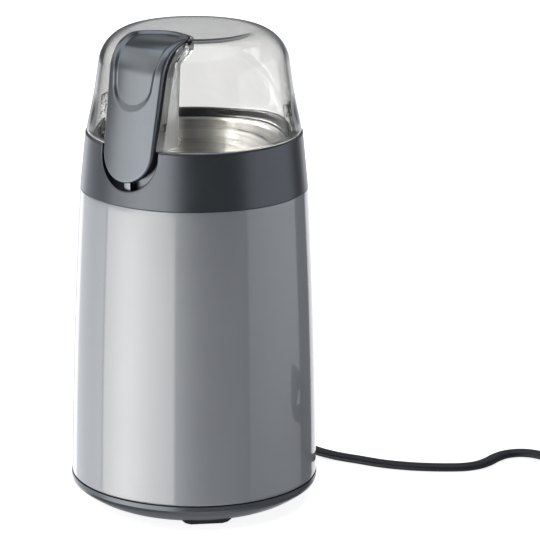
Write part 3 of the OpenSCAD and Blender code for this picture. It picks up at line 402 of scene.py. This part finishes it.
def dress(finish, *names):
    """Gives the finish to nodes of the frame that are shown as they are."""
    for name in names:
        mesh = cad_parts[name].data
        mesh.materials.clear()
        mesh.materials.append(finish)


def metal_paint():
    c = bpy.context.scene.grinder.colours
    return finish_of("silver metallic enamel", tuple(c.shell), c.shell_rough, metallic=0.75, coat=1.0, coat_rough=0.03,
                     coat_ior=1.6, grain=5200.0, bump=0.012, vary=0.03, rough_vary=0.02)


def slate(name="slate satin plastic", lighter=1.0):
    c = bpy.context.scene.grinder.colours
    # a factor above 1 makes a lighter copy of the slate: painted light on the piece that gets it
    return finish_of(name, tuple(k * lighter for k in c.slate), c.slate_rough, metallic=0.92, specular=1.0,
                     grain=3200.0, bump=0.05, vary=0.08, rough_vary=0.035)


def clear():
    c = bpy.context.scene.grinder.colours
    return finish_of("clear moulded plastic", tuple(c.lid), 0.012, transmission=1.0, ior=1.49, grain=60.0, bump=0.0,
                     vary=0.0, rough_vary=0.01)


def frosted():
    return finish_of("frosted channel wall", (0.95, 0.955, 0.96), 0.2, transmission=0.4, ior=1.49, grain=1.0,
                     stretch=(500, 500, 20), bump=0.9, vary=0.12, rough_vary=0.12)


def steel():
    c = bpy.context.scene.grinder.colours
    return finish_of("brushed stainless steel", tuple(c.steel), 0.3, metallic=1.0, grain=1.0, stretch=(16, 16, 800),
                     bump=0.3, vary=0.4, rough_vary=0.08, aniso=1.0)


def cord_rubber():
    c = bpy.context.scene.grinder.colours
    return finish_of("cord sheath", tuple(c.cord), 0.5, grain=1400.0, bump=0.05, vary=0.1, rough_vary=0.05)


# ---------------------------------------------------------------- what a user can change

class GrinderColours(PropertyGroup):
    """Colours and gloss of the pieces that show."""
    shell: FloatVectorProperty(name="Shell", description="Metallic enamel of the body shell", subtype="COLOR",
                               default=(0.40, 0.415, 0.44), min=0, max=1)
    shell_rough: FloatProperty(name="Shell roughness", description="How soft the enamel's flakes spread light",
                               subtype="FACTOR", default=0.52, min=0, max=1)
    slate: FloatVectorProperty(name="Slate", description="Plastic of the collar and push button", subtype="COLOR",
                               default=(0.119, 0.130, 0.144), min=0, max=1)
    slate_rough: FloatProperty(name="Slate roughness", description="How dull the slate plastic is",
                               subtype="FACTOR", default=0.31, min=0, max=1)
    lid: FloatVectorProperty(name="Lid", description="Tint of the clear lid", subtype="COLOR",
                             default=(0.93, 0.928, 0.92), min=0, max=1)
    steel: FloatVectorProperty(name="Bowl", description="Stainless steel of the bowl", subtype="COLOR",
                               default=(0.66, 0.65, 0.625), min=0, max=1)
    cord: FloatVectorProperty(name="Cord", description="Sheath of the cord and plug", subtype="COLOR",
                              default=(0.020, 0.021, 0.026), min=0, max=1)


class GrinderSizes(PropertyGroup):
    """Edges, hollow and cord, and how finely the turned pieces are made."""
    # painted light: the button is a lighter copy of the collar's slate, standing in for the light its face catches
    button_painted_light: FloatProperty(name="Button painted light", description="Painted light: how much lighter the button's copy of the slate is than the collar's",
                                default=1.58, min=0.5, max=2)
    edge: FloatProperty(name="Button edge", description="Radius of the push button's rounded edge, in mm",
                        default=0.9, min=0.2, max=1.4)
    recess: FloatProperty(name="Thumb recess", description="Depth of the hollow for the thumb, in mm",
                          default=1.1, min=0.2, max=1.5)
    notch_edge: FloatProperty(name="Notch edge", description="Radius of the collar's edge round the button, in mm",
                              default=0.6, min=0.1, max=1.0)
    lid_edge: FloatProperty(name="Lid edge", description="Radius of the lid's edge round the button, in mm",
                            default=0.5, min=0.1, max=1.0)
    cord_w: FloatProperty(name="Cord width", description="Width of the flat cord, in mm", default=5.2, min=4, max=7)
    cord_t: FloatProperty(name="Cord thickness", description="Thickness of the flat cord, in mm",
                          default=3.1, min=2, max=4)
    cord_length: FloatProperty(name="Cord length", description="Length of the cord from end to end",
                               unit="LENGTH", default=0.93, min=0.5, max=3)
    columns: IntProperty(name="Columns", description="How many faces go round the collar and the lid",
                         default=192, min=48, max=512)


class GrinderSettings(PropertyGroup):
    """All that the panel shows."""
    colours: PointerProperty(type=GrinderColours)
    sizes: PointerProperty(type=GrinderSizes)


# ---------------------------------------------------------------- stage

class GRINDER_OT_stage(Operator):
    """Camera, floor and studio light."""
    bl_idname = "grinder.stage"
    bl_label = "Stage"

    def execute(self, context):
        scene = context.scene
        scene.view_settings.view_transform = "Standard"
        lens = bpy.data.cameras.new("camera")
        lens.lens, lens.sensor_width, lens.sensor_fit = LENS, 36.0, "HORIZONTAL"
        lens.shift_x = SHIFT
        lens.clip_start, lens.clip_end = 0.05, 20.0
        view = bpy.data.objects.new("camera", lens)
        turn = np.radians(CAMERA_TURN)
        view.location = np.array([CAMERA_AWAY * np.sin(turn), -CAMERA_AWAY * np.cos(turn), CAMERA_HIGH]) * MM
        view.rotation_euler = (np.radians(90 - CAMERA_TILT), 0, turn)
        scene.collection.objects.link(view)
        scene.camera = view
        self.floor(scene)
        self.world(scene)
        return {"FINISHED"}

    def floor(self, scene):
        """Round floor of rings about its middle. The camera sees it almost white with the object's shadow on it;
        reflections and looks through the lid pass it."""
        r = np.array([0.0, 150, 300, 600, 1100])[:, None]
        a = np.linspace(0, 2 * PI, 96, endpoint=False)[None]
        points, quads = grid(np.stack([r * np.cos(a), r * np.sin(a), 0 * r * a], -1), False, True)
        mesh = bpy.data.meshes.new("floor")
        mesh.from_pydata((points + FLOOR_MIDDLE) * MM, [], quads)
        mesh.validate()
        mat = bpy.data.materials.new("studio floor")
        mat.use_nodes = True
        tree = Tree(mat.node_tree)
        shader = tree.nodes["Principled BSDF"]
        for socket, value in (("Base Color", (0.86, 0.86, 0.865, 1)), ("Roughness", 0.7),
                              ("Specular IOR Level", 0.2)):
            shader.inputs[socket].default_value = value
        ray = tree.nodes.new("ShaderNodeLightPath").outputs
        glow = tree.add("Emission", {"Strength": tree.calc("MULTIPLY", ray["Is Camera Ray"], 0.85)})
        total = tree.add("AddShader", {0: shader.outputs["BSDF"], 1: glow})
        past = tree.calc("MAXIMUM", ray["Is Glossy Ray"], ray["Is Transmission Ray"])
        pick = tree.add("MixShader", {0: past, 1: total, 2: tree.add("BsdfTransparent")})
        tree.put(pick, tree.nodes["Material Output"].inputs["Surface"])
        mesh.materials.append(mat)
        floor = bpy.data.objects.new("floor", mesh)
        scene.collection.objects.link(floor)

    def world(self, scene):
        """Studio of soft boxes on a dim grey. A box's light is its power times two soft windows, one in the angle
        round the object and one in the height of the direction. It is white where the camera looks past the object
        or through its lid."""
        world = bpy.data.worlds.new("studio")
        world.use_nodes = True
        scene.world = world
        tree = Tree(world.node_tree)
        calc = tree.calc

        def window(value, middle, half, soft):
            away = calc("ABSOLUTE", calc("SUBTRACT", value, middle))
            return tree.add("MapRange", {"Value": away, "From Min": half - soft, "From Max": half + soft, "To Min": 1.0,
                                         "To Max": 0.0}, interpolation_type="SMOOTHSTEP")

        way = tree.add("Mapping", {"Vector": tree.add("TexCoord", out="Generated"),
                                   "Rotation": (0, 0, np.radians(90 - CAMERA_TURN))})
        split = tree.nodes.new("ShaderNodeSeparateXYZ")
        tree.put(way, split.inputs["Vector"])
        x, y, height = split.outputs
        angle = calc("MULTIPLY", calc("ARCTAN2", y, x), float(180 / PI))
        behind = calc("SUBTRACT", 180.0, calc("ABSOLUTE", angle))
        ray = tree.nodes.new("ShaderNodeLightPath").outputs
        warm, cool = (1.01, 1.0, 0.965, 1), (0.97, 0.99, 1.03, 1)
        # a group: its boxes, least light, colour, and the share of it that reaches what is seen through the lid
        # a box: which angle, its middle, half width and soft edge, then its height, half height and edge, and power
        groups = (
            ([(angle, -57.0, 38.5, 2.0, -0.34, 0.2, 0.04, 2.45), (angle, -66.0, 14.0, 14.0, -0.34, 0.2, 0.04, 1.0),
              (angle, -41.0, 21.0, 9.0, -0.09, 0.05, 0.03, 2.2), (angle, -57.0, 36.0, 9.0, 0.05, 0.09, 0.06, 2.5),
              (angle, -50.0, 28.0, 9.0, 0.24, 0.1, 0.1, 0.55)], 0.0, warm, 1.0),
            ([(angle, -92.0, 42.0, 9.0, 0.58, 0.26, 0.16, 1.0)], 0.0, warm, 12.0),
            ([(angle, 87.0, 33.0, 1.5, 0.0, 0.3, 0.12, 0.7)], 0.0, cool, 7.0),
            ([(behind, 0.0, 200.0, 1.0, 1.0, 0.16, 0.06, 1.1)], 0.0, cool, 0.3),
            ([(behind, 0.0, 80.0, 20.0, 0.3, 0.2, 0.1, 0.25), (angle, 162.0, 14.0, 4.0, -0.3, 0.25, 0.08, 0.4),
              (behind, 0.0, 200.0, 1.0, -1.0, 0.35, 0.15, 0.4)], 0.1, cool, 0.75),
            ([(behind, 0.0, 33.0, 2.0, -0.36, 0.2, 0.05, 0.9), (angle, -130.0, 32.0, 2.0, -0.34, 0.2, 0.06, 1.25),
              (angle, 10.0, 40.0, 12.0, -0.6, 0.44, 0.06, 0.38)], 0.0, cool, 0.15))
        through = ray["Is Transmission Ray"]
        # a share above 1 counts only for a ray that has gone on through a second wall of the lid
        inside = calc("MULTIPLY", through, calc("GREATER_THAN", ray["Transmission Depth"], 2.5))
        studio = None
        for boxes, light, colour, share in groups:
            for value, middle, half, soft, z, tall, fade, power in boxes:
                patch = calc("MULTIPLY", window(value, middle, half, soft), window(height, z, tall, fade))
                light = calc("ADD", light, calc("MULTIPLY", patch, power))
            factor = calc("ADD", 1.0, calc("MULTIPLY", inside if share > 1 else through, share - 1.0))
            glow = tree.add("Background", {"Color": colour, "Strength": calc("MULTIPLY", light, factor)})
            studio = tree.add("AddShader", {0: studio, 1: glow}) if studio else glow
        white = tree.nodes["Background"]
        white.inputs["Color"].default_value = (1, 1, 1, 1)
        straight = calc("LESS_THAN", calc("ADD", ray["Glossy Depth"], ray["Diffuse Depth"]), 0.5)
        seen = calc("MAXIMUM", ray["Is Camera Ray"], calc("MULTIPLY", through, straight))
        mix = tree.add("MixShader", {0: seen, 1: studio, 2: white.outputs["Background"]})
        tree.put(mix, tree.nodes["World Output"].inputs["Surface"])


# ---------------------------------------------------------------- cord, relief and plug

class GRINDER_OT_cord(Operator):
    """Flat cord from the base to the plug, with the spare length wound in a tied coil."""
    bl_idname = "grinder.cord"
    bl_label = "Cord"

    def execute(self, context):
        s = context.scene.grinder.sizes
        # degrees of turn: the lower layer's outer and inner turn, then the upper layer's inner and outer one
        turn = np.arange(262.0, 1566.0, 6.0)
        r = COIL_R - 5.4 * smooth((turn - 565) / 45) + 5.4 * smooth((turn - 1210) / 50)
        z = 2.45 + 3.3 * smooth((turn - 900) / 60)
        a = np.radians(turn)
        coil = np.stack([COIL[0] + r * np.cos(a), COIL[1] + r * np.sin(a), z], -1)
        path = flowing(np.concatenate([LEAD, coil, TAIL]), 1.2)
        body = oblong(s.cord_w, s.cord_t, 24, 2.6)
        piece = new_piece("cord", [swept(path, body)], cord_rubber(), "housing",
                          ("power_cord", "cord_coil", "cord_tail"), sharp=60)
        return {"FINISHED"}


class GRINDER_OT_plug(Operator):
    """Moulded flat plug: rounded sections along its length, wider and thicker from neck to face, with four dents
    round the neck, each a bell curve."""
    bl_idname = "grinder.plug"
    bl_label = "Plug"

    def execute(self, context):
        at = np.array([0, 1.2, 3, 6, 9, 11.2, 12.2, 13.6, 15.5, 18, 22, 27, 33, 38, 41, 41.8, PLUG_L])
        w = np.array([7.2, 8.4, 8.4, 8.6, 9.4, 11.4, 15.5, 21, 25.4, 28.6, 30.6, 32.6, 34.4, 35.1, 35.1, 34.4, 33.0])
        t = np.array([5.2, 6.4, 6.4, 6.5, 7.0, 7.8, 9.0, 10.6, 11.8, 12.7, 13.3, 13.6, 13.7, 13.7, 13.5, 13.0, 12.0])
        x = np.linspace(0, PLUG_L, 120)
        w, t = np.interp(x, at, w), np.interp(x, at, t)
        for x0 in (3.4, 5.6, 7.8, 10.0):
            dent = 0.55 * np.exp(-((x - x0) / 0.42) ** 2)
            w, t = w - 2 * dent, t - 2 * dent
        power = np.interp(x, [0, 10, 20, PLUG_L], [2.2, 2.4, 3.6, 4.6])
        section = np.stack([oblong(a, b, 56, p) for a, b, p in zip(w, t, power)])
        turn = np.radians(PLUG_TURN)
        path = np.array(PLUG_AT) + x[:, None] * [np.cos(turn), np.sin(turn), 0]
        new_piece("plug", [swept(path, section)], cord_rubber(), "housing", ("plug_body",), sharp=50)
        return {"FINISHED"}


class GRINDER_OT_relief(Operator):
    """Tapered rubber sleeve where the cord leaves the base, with grooves along its outer half."""
    bl_idname = "grinder.relief"
    bl_label = "Strain relief"

    def execute(self, context):
        path = flowing(LEAD[2:9], 0.4)
        run = np.linspace(0, 1, len(path))
        w, t = 8.6 - 2.4 * smooth(run * 1.05), 6.4 - 2.4 * smooth(run * 1.05)
        groove = 0.5 * smooth(np.sin(run * 2 * PI * 9) * 2 - 0.6) * (run > 0.36) * (run < 0.94)
        lip = 2.2 * smooth((0.055 - run) / 0.01)
        section = np.stack([oblong(a, b, 36, 2.8) for a, b in zip(w - 2 * groove + lip, t - 2 * groove + lip * 0.5)])
        new_piece("strain_sleeve", [swept(path, section)], cord_rubber(), "housing", ("strain_relief",),
                  sharp=50)
        return {"FINISHED"}


# ---------------------------------------------------------------- housing

class GRINDER_OT_shell(Operator):
    """Body shell: a closed section with a soft swell, turned round Z."""
    bl_idname = "grinder.shell"
    bl_label = "Body shell"

    def execute(self, context):
        foot_r, taper, swell, high = 50, 4.3, 0.65, 119.4
        s = np.linspace(0, 1, 60)
        outer = np.stack([foot_r - taper * s + swell * 4 * s * (1 - s), Z_SHELL + high * s], -1)
        a = np.radians(np.linspace(0, 90, 7))
        lip = np.stack([49 + np.sin(a), Z_SHELL + 1 - np.cos(a)], -1)
        top = bend(outer[-1:] - [[0, 0.35]], outer[-1:], outer[-1:] - [[0.35, 0]], 5)[:, 0]
        inner = np.array([[43.7, Z_COLLAR], [44.6, 105], [47.2, 40], [48, 13], [48, Z_SHELL]])
        section = np.concatenate([lip, outer[outer[:, 1] > Z_SHELL + 1.2][:-1], top, inner])
        new_piece("shell", [turned(section, 288)], metal_paint(), "housing", ("body_shell",))
        return {"FINISHED"}


class GRINDER_OT_collar(Operator):
    """Collar: arcs about Z that stop at the notch, with the notch's edge, its pocket and the shelf of the bowl."""
    bl_idname = "grinder.collar"
    bl_label = "Collar"

    def execute(self, context):
        s = context.scene.grinder.sizes
        v = np.linspace(0, 1, s.columns + 1)

        def radius(z):
            return np.interp(z, [Z_COLLAR, Z_COLLAR + 0.25, Z_LID - 0.5, Z_LID], [45.45, 45.68, 43.45, 43.0])

        def notch(grow):
            t = np.linspace(0, PI / 2, 40)
            z = np.concatenate([NOTCH_Z - (NOTCH_R + grow) * np.cos(t), [151.4, 152.4, 152.8, 153.05, Z_LID]])
            x = np.concatenate([(NOTCH_R + grow) * np.sin(t), np.full(5, NOTCH_R + grow)])
            return np.stack([x, -np.sqrt(radius(z) ** 2 - x * x), z], -1)

        def pocket(r, z):
            return np.array([[POCKET_HALF, -np.sqrt(r * r - POCKET_HALF ** 2), z]])

        edge, corner = notch(s.notch_edge), notch(0)
        below = corner + (0, s.notch_edge, 0)
        deep = corner.copy()
        deep[:, 1] = -np.sqrt(POCKET_R ** 2 - deep[:, 0] ** 2)
        low_z = np.concatenate([[Z_COLLAR, Z_COLLAR + 0.1, Z_COLLAR + 0.25], np.linspace(131.2, edge[0, 2], 8)[:-1]])
        low = np.stack([0 * low_z, -radius(low_z), low_z], -1)
        mouth = np.concatenate([pocket(41.5, Z_LID), pocket(41.2, Z_LID - 0.3), pocket(RIM_R, SHELF_Z)])
        wall = np.concatenate([edge[-1:], mouth, pocket(SHELF_R, SHELF_Z)])
        parts = [grid(round_rows(np.concatenate([low, edge]), v)), grid(round_rows(wall, v))]
        cheek = np.concatenate([bend(edge, corner, below, 5), between(below, deep, 3)[1:]])
        parts += [grid(cheek), mirrored(grid(cheek))]
        front = np.linspace(-1, 1, 49)
        parts.append(grid(front_rows(deep, front)))
        tall = np.concatenate([pocket(SHELF_R, z) for z in (SHELF_Z, Z_LID - 0.3, Z_LID)])
        parts.append(grid(front_rows(tall[::2], front)))
        side = np.stack([mouth[::-1], tall])
        parts += [grid(side), mirrored(grid(side))]
        depth = np.sqrt(SHELF_R ** 2 - POCKET_HALF ** 2)
        start = np.arctan2(-depth, POCKET_HALF)
        back = start + (PI - 2 * start) * v
        ahead = np.arctan2(POCKET_HALF, depth) * front - PI / 2
        under = np.array([[SHELF_R, SHELF_Z], [MOUTH_R, SHELF_Z], [MOUTH_R, 144.8], [SHELF_R, 144.8], [SHELF_R, 135.0],
                          [43.2, 135.0], [43.2, 124.4], [43.4, 124.4], [43.4, Z_COLLAR], [45.45, Z_COLLAR]])
        for a in (back, ahead):
            r, z, a = under[:, :1], under[:, 1:], a[None]
            parts.append(grid(np.stack([r * np.cos(a), r * np.sin(a), z + 0 * a], -1)))
        piece = new_piece("collar_ring", parts, slate(), "housing", ("collar",), fill=True)
        cut(piece, block(*SLOT, 0.1))
        # the inner rim of the mouth gets a near-black finish: painted shade where the wall lies in shadow inside the
        # collar
        second_finish(piece, finish_of("painted shade on inner rim", (0.012, 0.013, 0.016), 0.75, grain=1500.0, bump=0.5, vary=0.5),
                      self.painted_shade_rim)
        return {"FINISHED"}

    def painted_shade_rim(self, at, way):
        """Faces that get the painted shade: inside the mouth, from the shelf to just under the top, apart from the
        pocket's front.
        """
        within = (np.hypot(at[:, 0], at[:, 1]) < RIM_R + 0.1) & (at[:, 2] > SHELF_Z - 2.5) & (at[:, 2] < Z_LID - 0.1)
        inwards = (at * way)[:, :2].sum(1) < 0
        return within & ((at[:, 1] > -30) | inwards & (np.abs(at[:, 0]) > 15))


class GRINDER_OT_bowl(Operator):
    """Grinding bowl: a thin dish of sheet steel with a rounded floor corner and a flat rim, turned round Z."""
    bl_idname = "grinder.bowl"
    bl_label = "Bowl"

    def execute(self, context):
        inner = soften([[5.2, 110.6], [32.5, 110.6], [34.45, 147.6], [35.0, 148.6], [37.6, 148.6]],
                       [0, 6, 0.7, 0.5, 0], 9)
        outer = soften([[37.6, 148.0], [35.6, 148.0], [35.05, 147.4], [33.1, 110.0], [5.2, 110.0]],
                       [0, 0.4, 0.5, 6.6, 0], 9)
        new_piece("bowl", [turned(np.concatenate([inner, outer]), 240)], steel(), "housing",
                  ("grinding_bowl",))
        return {"FINISHED"}


class GRINDER_OT_lid(Operator):
    """Clear lid: dome rows that stop at the channel's outline, with the channel's walls, and the same again inside;
    a skirt inside the collar and two guide frames."""
    bl_idname = "grinder.lid"
    bl_label = "Lid"

    def back(self, line, y0, bend_z, bend_y, floor_z):
        """Far edge of the channel's wall: an upright plane, a slope and a level floor, in the wall's own plane."""
        x, y, z = line.T
        turn = np.argmax(z > bend_z)
        y_turn = y[turn]
        ahead = np.where(y < END_Y, y0 + (y - y_turn) * (END_Y - y0) / (END_Y - y_turn), y)
        far_y = np.where(z <= bend_z, y0, np.maximum(ahead, y0))
        far_z = np.where(z <= bend_z, z, np.interp(far_y, [y0, bend_y], [bend_z, floor_z]))
        return np.stack([x, far_y, np.minimum(far_z, z)], -1)

    def skin(self, section, grow, edge, columns, far, turn):
        """One side of the lid's wall: dome rows, their cap, the channel's rounded edge, its walls and its back."""
        v = np.linspace(0, 1, columns + 1)
        corner = outline(section, grow, Z_LID)
        cap_r = np.linspace(1, 0, 14)[1:, None]
        across = np.linspace(1, -1, 25)[:, None, None]
        deep = self.back(corner, *far)
        reach = np.linalg.norm(corner - deep, axis=1)[:, None]
        near = deep + (corner - deep) * np.minimum(turn, 0.4 * reach) / np.maximum(reach, 1e-6)
        beside = deep - np.minimum(turn, 0.4 * deep[:, :1]) * (1, 0, 0)
        parts = []
        if edge:
            rim = outline(section, grow + edge, Z_LID)
            below = corner + inward(corner) * edge
            cheek = np.concatenate([bend(rim, corner, below, 5), between(below, near, 3)[1:]])
        else:
            rim = corner
            cheek = between(corner, near, 3)
        cheek = np.concatenate([cheek, bend(near, deep, beside, 8)[1:]])
        rows = round_rows(rim, v)
        tip = rows[-1:] * np.array([1, 1, 0]) * cap_r[..., None]
        tip[..., 2] = np.interp(-np.hypot(tip[..., 0], tip[..., 1]), -section[:, 0], section[:, 1])
        parts.append(grid(np.concatenate([rows, tip])))
        parts += [grid(cheek), mirrored(grid(cheek))]
        parts.append(grid(beside[None] * np.concatenate([across, 0 * across + 1, 0 * across + 1], -1)))
        return rows[0], parts

    def execute(self, context):
        s = context.scene.grinder.sizes
        outside = dome(0.0, Z_LID + 0.4)
        outside[:, 0] += 0.8 * smooth((170 - outside[:, 1]) / 17)
        outside = np.concatenate([[[outside[0, 0] - 0.25, Z_LID]], outside])
        outer_row, parts = self.skin(outside, CHANNEL_GAP, s.lid_edge, s.columns, CHANNEL_OUT, 0.7)
        inner_row, inside = self.skin(dome(-LID_WALL, Z_LID), CHANNEL_GAP + 1.6, 0.0, s.columns, CHANNEL_IN, 2.2)
        parts += inside
        parts.append(grid(np.stack([outer_row, inner_row])))
        piece = new_piece("lid_dome", parts, clear(), "lid", ("lid",), fill=True)
        # the channel's side walls face sideways, ahead of its round end
        second_finish(piece, frosted(), lambda at, way: (np.abs(way[:, 0]) > 0.9) & (at[:, 1] < END_Y - 0.1))
        skirt = self.bar([[38.4, 148.9], [40.6, 148.9], [40.6, 153.28], [38.4, 153.28]], 0.35, -66.2, 246.2, s.columns)
        new_piece("lid_skirt", [skirt], clear(), "lid")
        self.guides()
        return {"FINISHED"}

    def bar(self, section, edge, start, end, steps):
        """Rounded section of radii and heights, carried round Z from one angle to another, with both ends closed."""
        section = soften(section, edge, 4)
        a = np.radians(np.linspace(start, end, steps))[:, None]
        r, z = section[:, 0][None], section[:, 1][None]
        rings = np.stack([r * np.cos(a), r * np.sin(a), z + 0 * a], -1)
        ends = [np.broadcast_to(rings[k].mean(0), rings[k].shape)[None] for k in (0, -1)]
        return grid(np.concatenate([ends[0], rings, ends[1]]), False, True)

    def guides(self):
        """Two small guide frames inside the lid's wall, left and right: two uprights and three bars each."""
        wall = dome(-LID_WALL - 0.05, Z_LID)

        def post(low, high, deep):
            r0, r1 = np.interp([low, high], wall[:60, 1], wall[:60, 0])
            return [[r0 - deep, low], [r0, low], [r1, high], [r1 - deep, high]]

        parts = []
        # start and end angle, lowest and highest point, and depth of each
        bars = ((15.0, 17.2, 155.0, 166.0, 1.5), (25.8, 28.0, 155.0, 166.0, 1.5), (17.4, 25.6, 156.6, 157.8, 1.2),
                (17.4, 25.6, 161.0, 162.2, 1.2), (17.4, 25.6, 162.6, 166.0, 0.7))
        for turn in (0.0, 180.0):
            for start, end, low, high, deep in bars:
                parts.append(self.bar(post(low, high, deep), 0.2, start + turn, end + turn, 12))
        new_piece("lid_guides", parts, clear(), "lid")


class GRINDER_OT_button(Operator):
    """Push button: rows of arcs between its outlines, with a hollow for the thumb, a rounded edge, a hollow back, the
    prong under it and two lugs."""
    bl_idname = "grinder.button"
    bl_label = "Push button"

    def hollow(self, points, depth):
        """Depth of the thumb recess at each point: a soft step inside a line with a round lower end."""
        x, y, z = points[..., 0], points[..., 1], points[..., 2]
        low, round_r = 178.1, 9.8
        half = round_r + 2.2 * (z - low) / (HIGH_Z - low)
        inside = np.where(z < low, round_r - np.hypot(x, z - low), half - np.abs(x))
        reach = np.sqrt((x / HIGH_HALF) ** 2 + ((y - END_Y) / END_L) ** 2)
        end = np.where(y > END_Y, (1 - reach) * END_L - 1.6, 9.0)
        return depth * smooth(np.minimum(inside, end) / 1.5)

    def execute(self, context):
        s = context.scene.grinder.sizes
        section = dome(PROUD, 138.0, BUTTON_TOP, 5.0)
        v = np.linspace(-1, 1, 73)
        f = s.edge
        corner, rim, back = outline(section, 0, None), outline(section, -f, None), outline(section, -1.5, None)
        step, back_step = inward(corner), inward(back)
        # the wall is deeper down the front and shallow again inside the collar's notch
        wall = (1.62 + 2.0 * smooth((-29.0 - corner[:, 1]) / 3.0) - 1.3 * smooth((146.0 - corner[:, 2]) / 5.0))[:, None]
        front = front_rows(rim, v)
        rho = np.hypot(front[..., 0], front[..., 1])
        slope = inward(rim)
        n_z = -slope[:, 2] / np.linalg.norm(slope, axis=1)
        n_r = np.sqrt(np.maximum(1 - n_z ** 2, 0))
        sunk = self.hollow(front, s.recess)[..., None]
        normal = np.stack([front[..., 0] / rho * n_r[:, None], front[..., 1] / rho * n_r[:, None],
                           n_z[:, None] + 0 * rho], -1)
        front = front - normal * sunk
        foot, rest, roof = corner + step * wall, back + back_step * wall, back + back_step * 1.6
        strip = np.concatenate([bend(rim, corner, corner + step * f, 6), foot[None], rest[None], roof[None]])
        parts = [grid(front), grid(strip), mirrored(grid(strip)), grid(front_rows(roof, v))]
        lug = block((12.0, -36.8, 160.3), (13.4, -34.0, 163.3), 0.2)
        parts += [block(*PRONG, 0.3), lug, mirrored(lug)]
        # the button's slate is the collar's slate made lighter: painted light for the light its face catches
        new_piece("button", parts, slate("slate button plastic with painted light", s.button_painted_light), "push_button",
                  ("push_button",))
        return {"FINISHED"}


# ---------------------------------------------------------------- nodes shown as they are

class GRINDER_OT_finishes(Operator):
    """Finishes of the pieces that keep the frame's own shape."""
    bl_idname = "grinder.finishes"
    bl_label = "Finishes"

    def execute(self, context):
        dress(slate(), "base_cover")
        dress(finish_of("foot rubber", (0.035, 0.038, 0.043), 0.62, grain=1500.0, bump=0.12, vary=0.12), "rubber_feet")
        dress(finish_of("black rubber", (0.03, 0.03, 0.032), 0.7, grain=1200.0, bump=0.15, vary=0.15),
              "bowl_gasket", "shaft_seal", "rubber_mounts")
        dress(finish_of("ground blade steel", (0.66, 0.66, 0.64), 0.2, metallic=1.0, grain=1.0, stretch=(900, 60, 60),
                        bump=0.12, vary=0.1, rough_vary=0.06), "blade")
        dress(finish_of("zinc steel", (0.58, 0.59, 0.6), 0.28, metallic=1.0, grain=700.0, bump=0.05, vary=0.1),
              "blade_nut", "motor_screws", "base_screws", "collar_screws", "switch_screws", "clamp_screws",
              "plunger_spring", "switch_lever", "motor_shaft")
        dress(finish_of("sintered bronze", (0.55, 0.38, 0.18), 0.45, metallic=1.0, grain=2600.0, bump=0.2, vary=0.2),
              "upper_bearing", "lower_bearing")
        dress(finish_of("cast alloy", (0.56, 0.57, 0.59), 0.5, metallic=1.0, grain=900.0, bump=0.2, vary=0.1),
              "upper_bracket", "lower_bracket")
        dress(finish_of("stacked laminations", (0.20, 0.205, 0.215), 0.45, metallic=0.9, grain=1.0,
                        stretch=(30, 30, 2200), bump=0.5, vary=0.35), "stator", "armature")
        dress(finish_of("enamelled copper", (0.55, 0.19, 0.08), 0.3, metallic=0.85, grain=1.0, stretch=(700, 700, 2600),
                        bump=0.5, vary=0.3), "field_coils", "armature_windings")
        dress(finish_of("turned copper", (0.72, 0.36, 0.22), 0.3, metallic=1.0, grain=1.0, stretch=(40, 40, 3000),
                        bump=0.2, vary=0.15), "commutator")
        dress(finish_of("brass", (0.68, 0.5, 0.2), 0.3, metallic=1.0, grain=800.0, bump=0.05, vary=0.1),
              "brush_holders", "switch_terminals")
        dress(finish_of("carbon", (0.03, 0.03, 0.032), 0.6, metallic=0.2, grain=1800.0, bump=0.2, vary=0.2),
              "carbon_brushes")
        dress(finish_of("white nylon", (0.72, 0.72, 0.69), 0.45, grain=1200.0, bump=0.05, vary=0.05),
              "chassis", "cooling_fan", "switch_plunger")
        dress(finish_of("black moulded plastic", (0.03, 0.03, 0.034), 0.4, grain=1300.0, bump=0.08, vary=0.12),
              "microswitch", "cord_clamp")
        dress(finish_of("wire cover", (0.30, 0.12, 0.05), 0.45, grain=900.0, bump=0.05, vary=0.15), "inner_wires")
        dress(finish_of("tie strap", (0.025, 0.025, 0.028), 0.5, grain=1700.0, bump=0.2, vary=0.15), "coil_tie")
        dress(finish_of("nickel pins", (0.70, 0.69, 0.66), 0.18, metallic=1.0, grain=500.0, bump=0.02, vary=0.06),
              "plug_pins")
        return {"FINISHED"}


class GRINDER_PT_panel(Panel):
    """Lists the grinder's settings and its pieces."""
    bl_idname = "GRINDER_PT_panel"
    bl_label = "Spice grinder"
    bl_space_type = "VIEW_3D"
    bl_region_type = "UI"
    bl_category = "Grinder"

    def draw(self, context):
        settings = context.scene.grinder
        for group in (settings.colours, settings.sizes):
            box = self.layout.box()
            for name in group.bl_rna.properties.keys():
                if name not in ("rna_type", "name"):
                    box.prop(group, name)
        for operator in OPERATORS:
            self.layout.operator(operator.bl_idname)


OPERATORS = (GRINDER_OT_stage, GRINDER_OT_plug, GRINDER_OT_cord, GRINDER_OT_relief, GRINDER_OT_shell, GRINDER_OT_collar,
             GRINDER_OT_bowl, GRINDER_OT_lid, GRINDER_OT_button, GRINDER_OT_finishes)
CLASSES = (GrinderColours, GrinderSizes, GrinderSettings) + OPERATORS + (GRINDER_PT_panel,)


def register():
    for cls in CLASSES:
        bpy.utils.register_class(cls)
    bpy.types.Scene.grinder = PointerProperty(type=GrinderSettings)


def unregister():
    del bpy.types.Scene.grinder
    for cls in reversed(CLASSES):
        bpy.utils.unregister_class(cls)


def main():
    register()
    for operator in OPERATORS:
        group, name = operator.bl_idname.split(".")
        getattr(getattr(bpy.ops, group), name)()


if __name__ == "__main__":
    main()
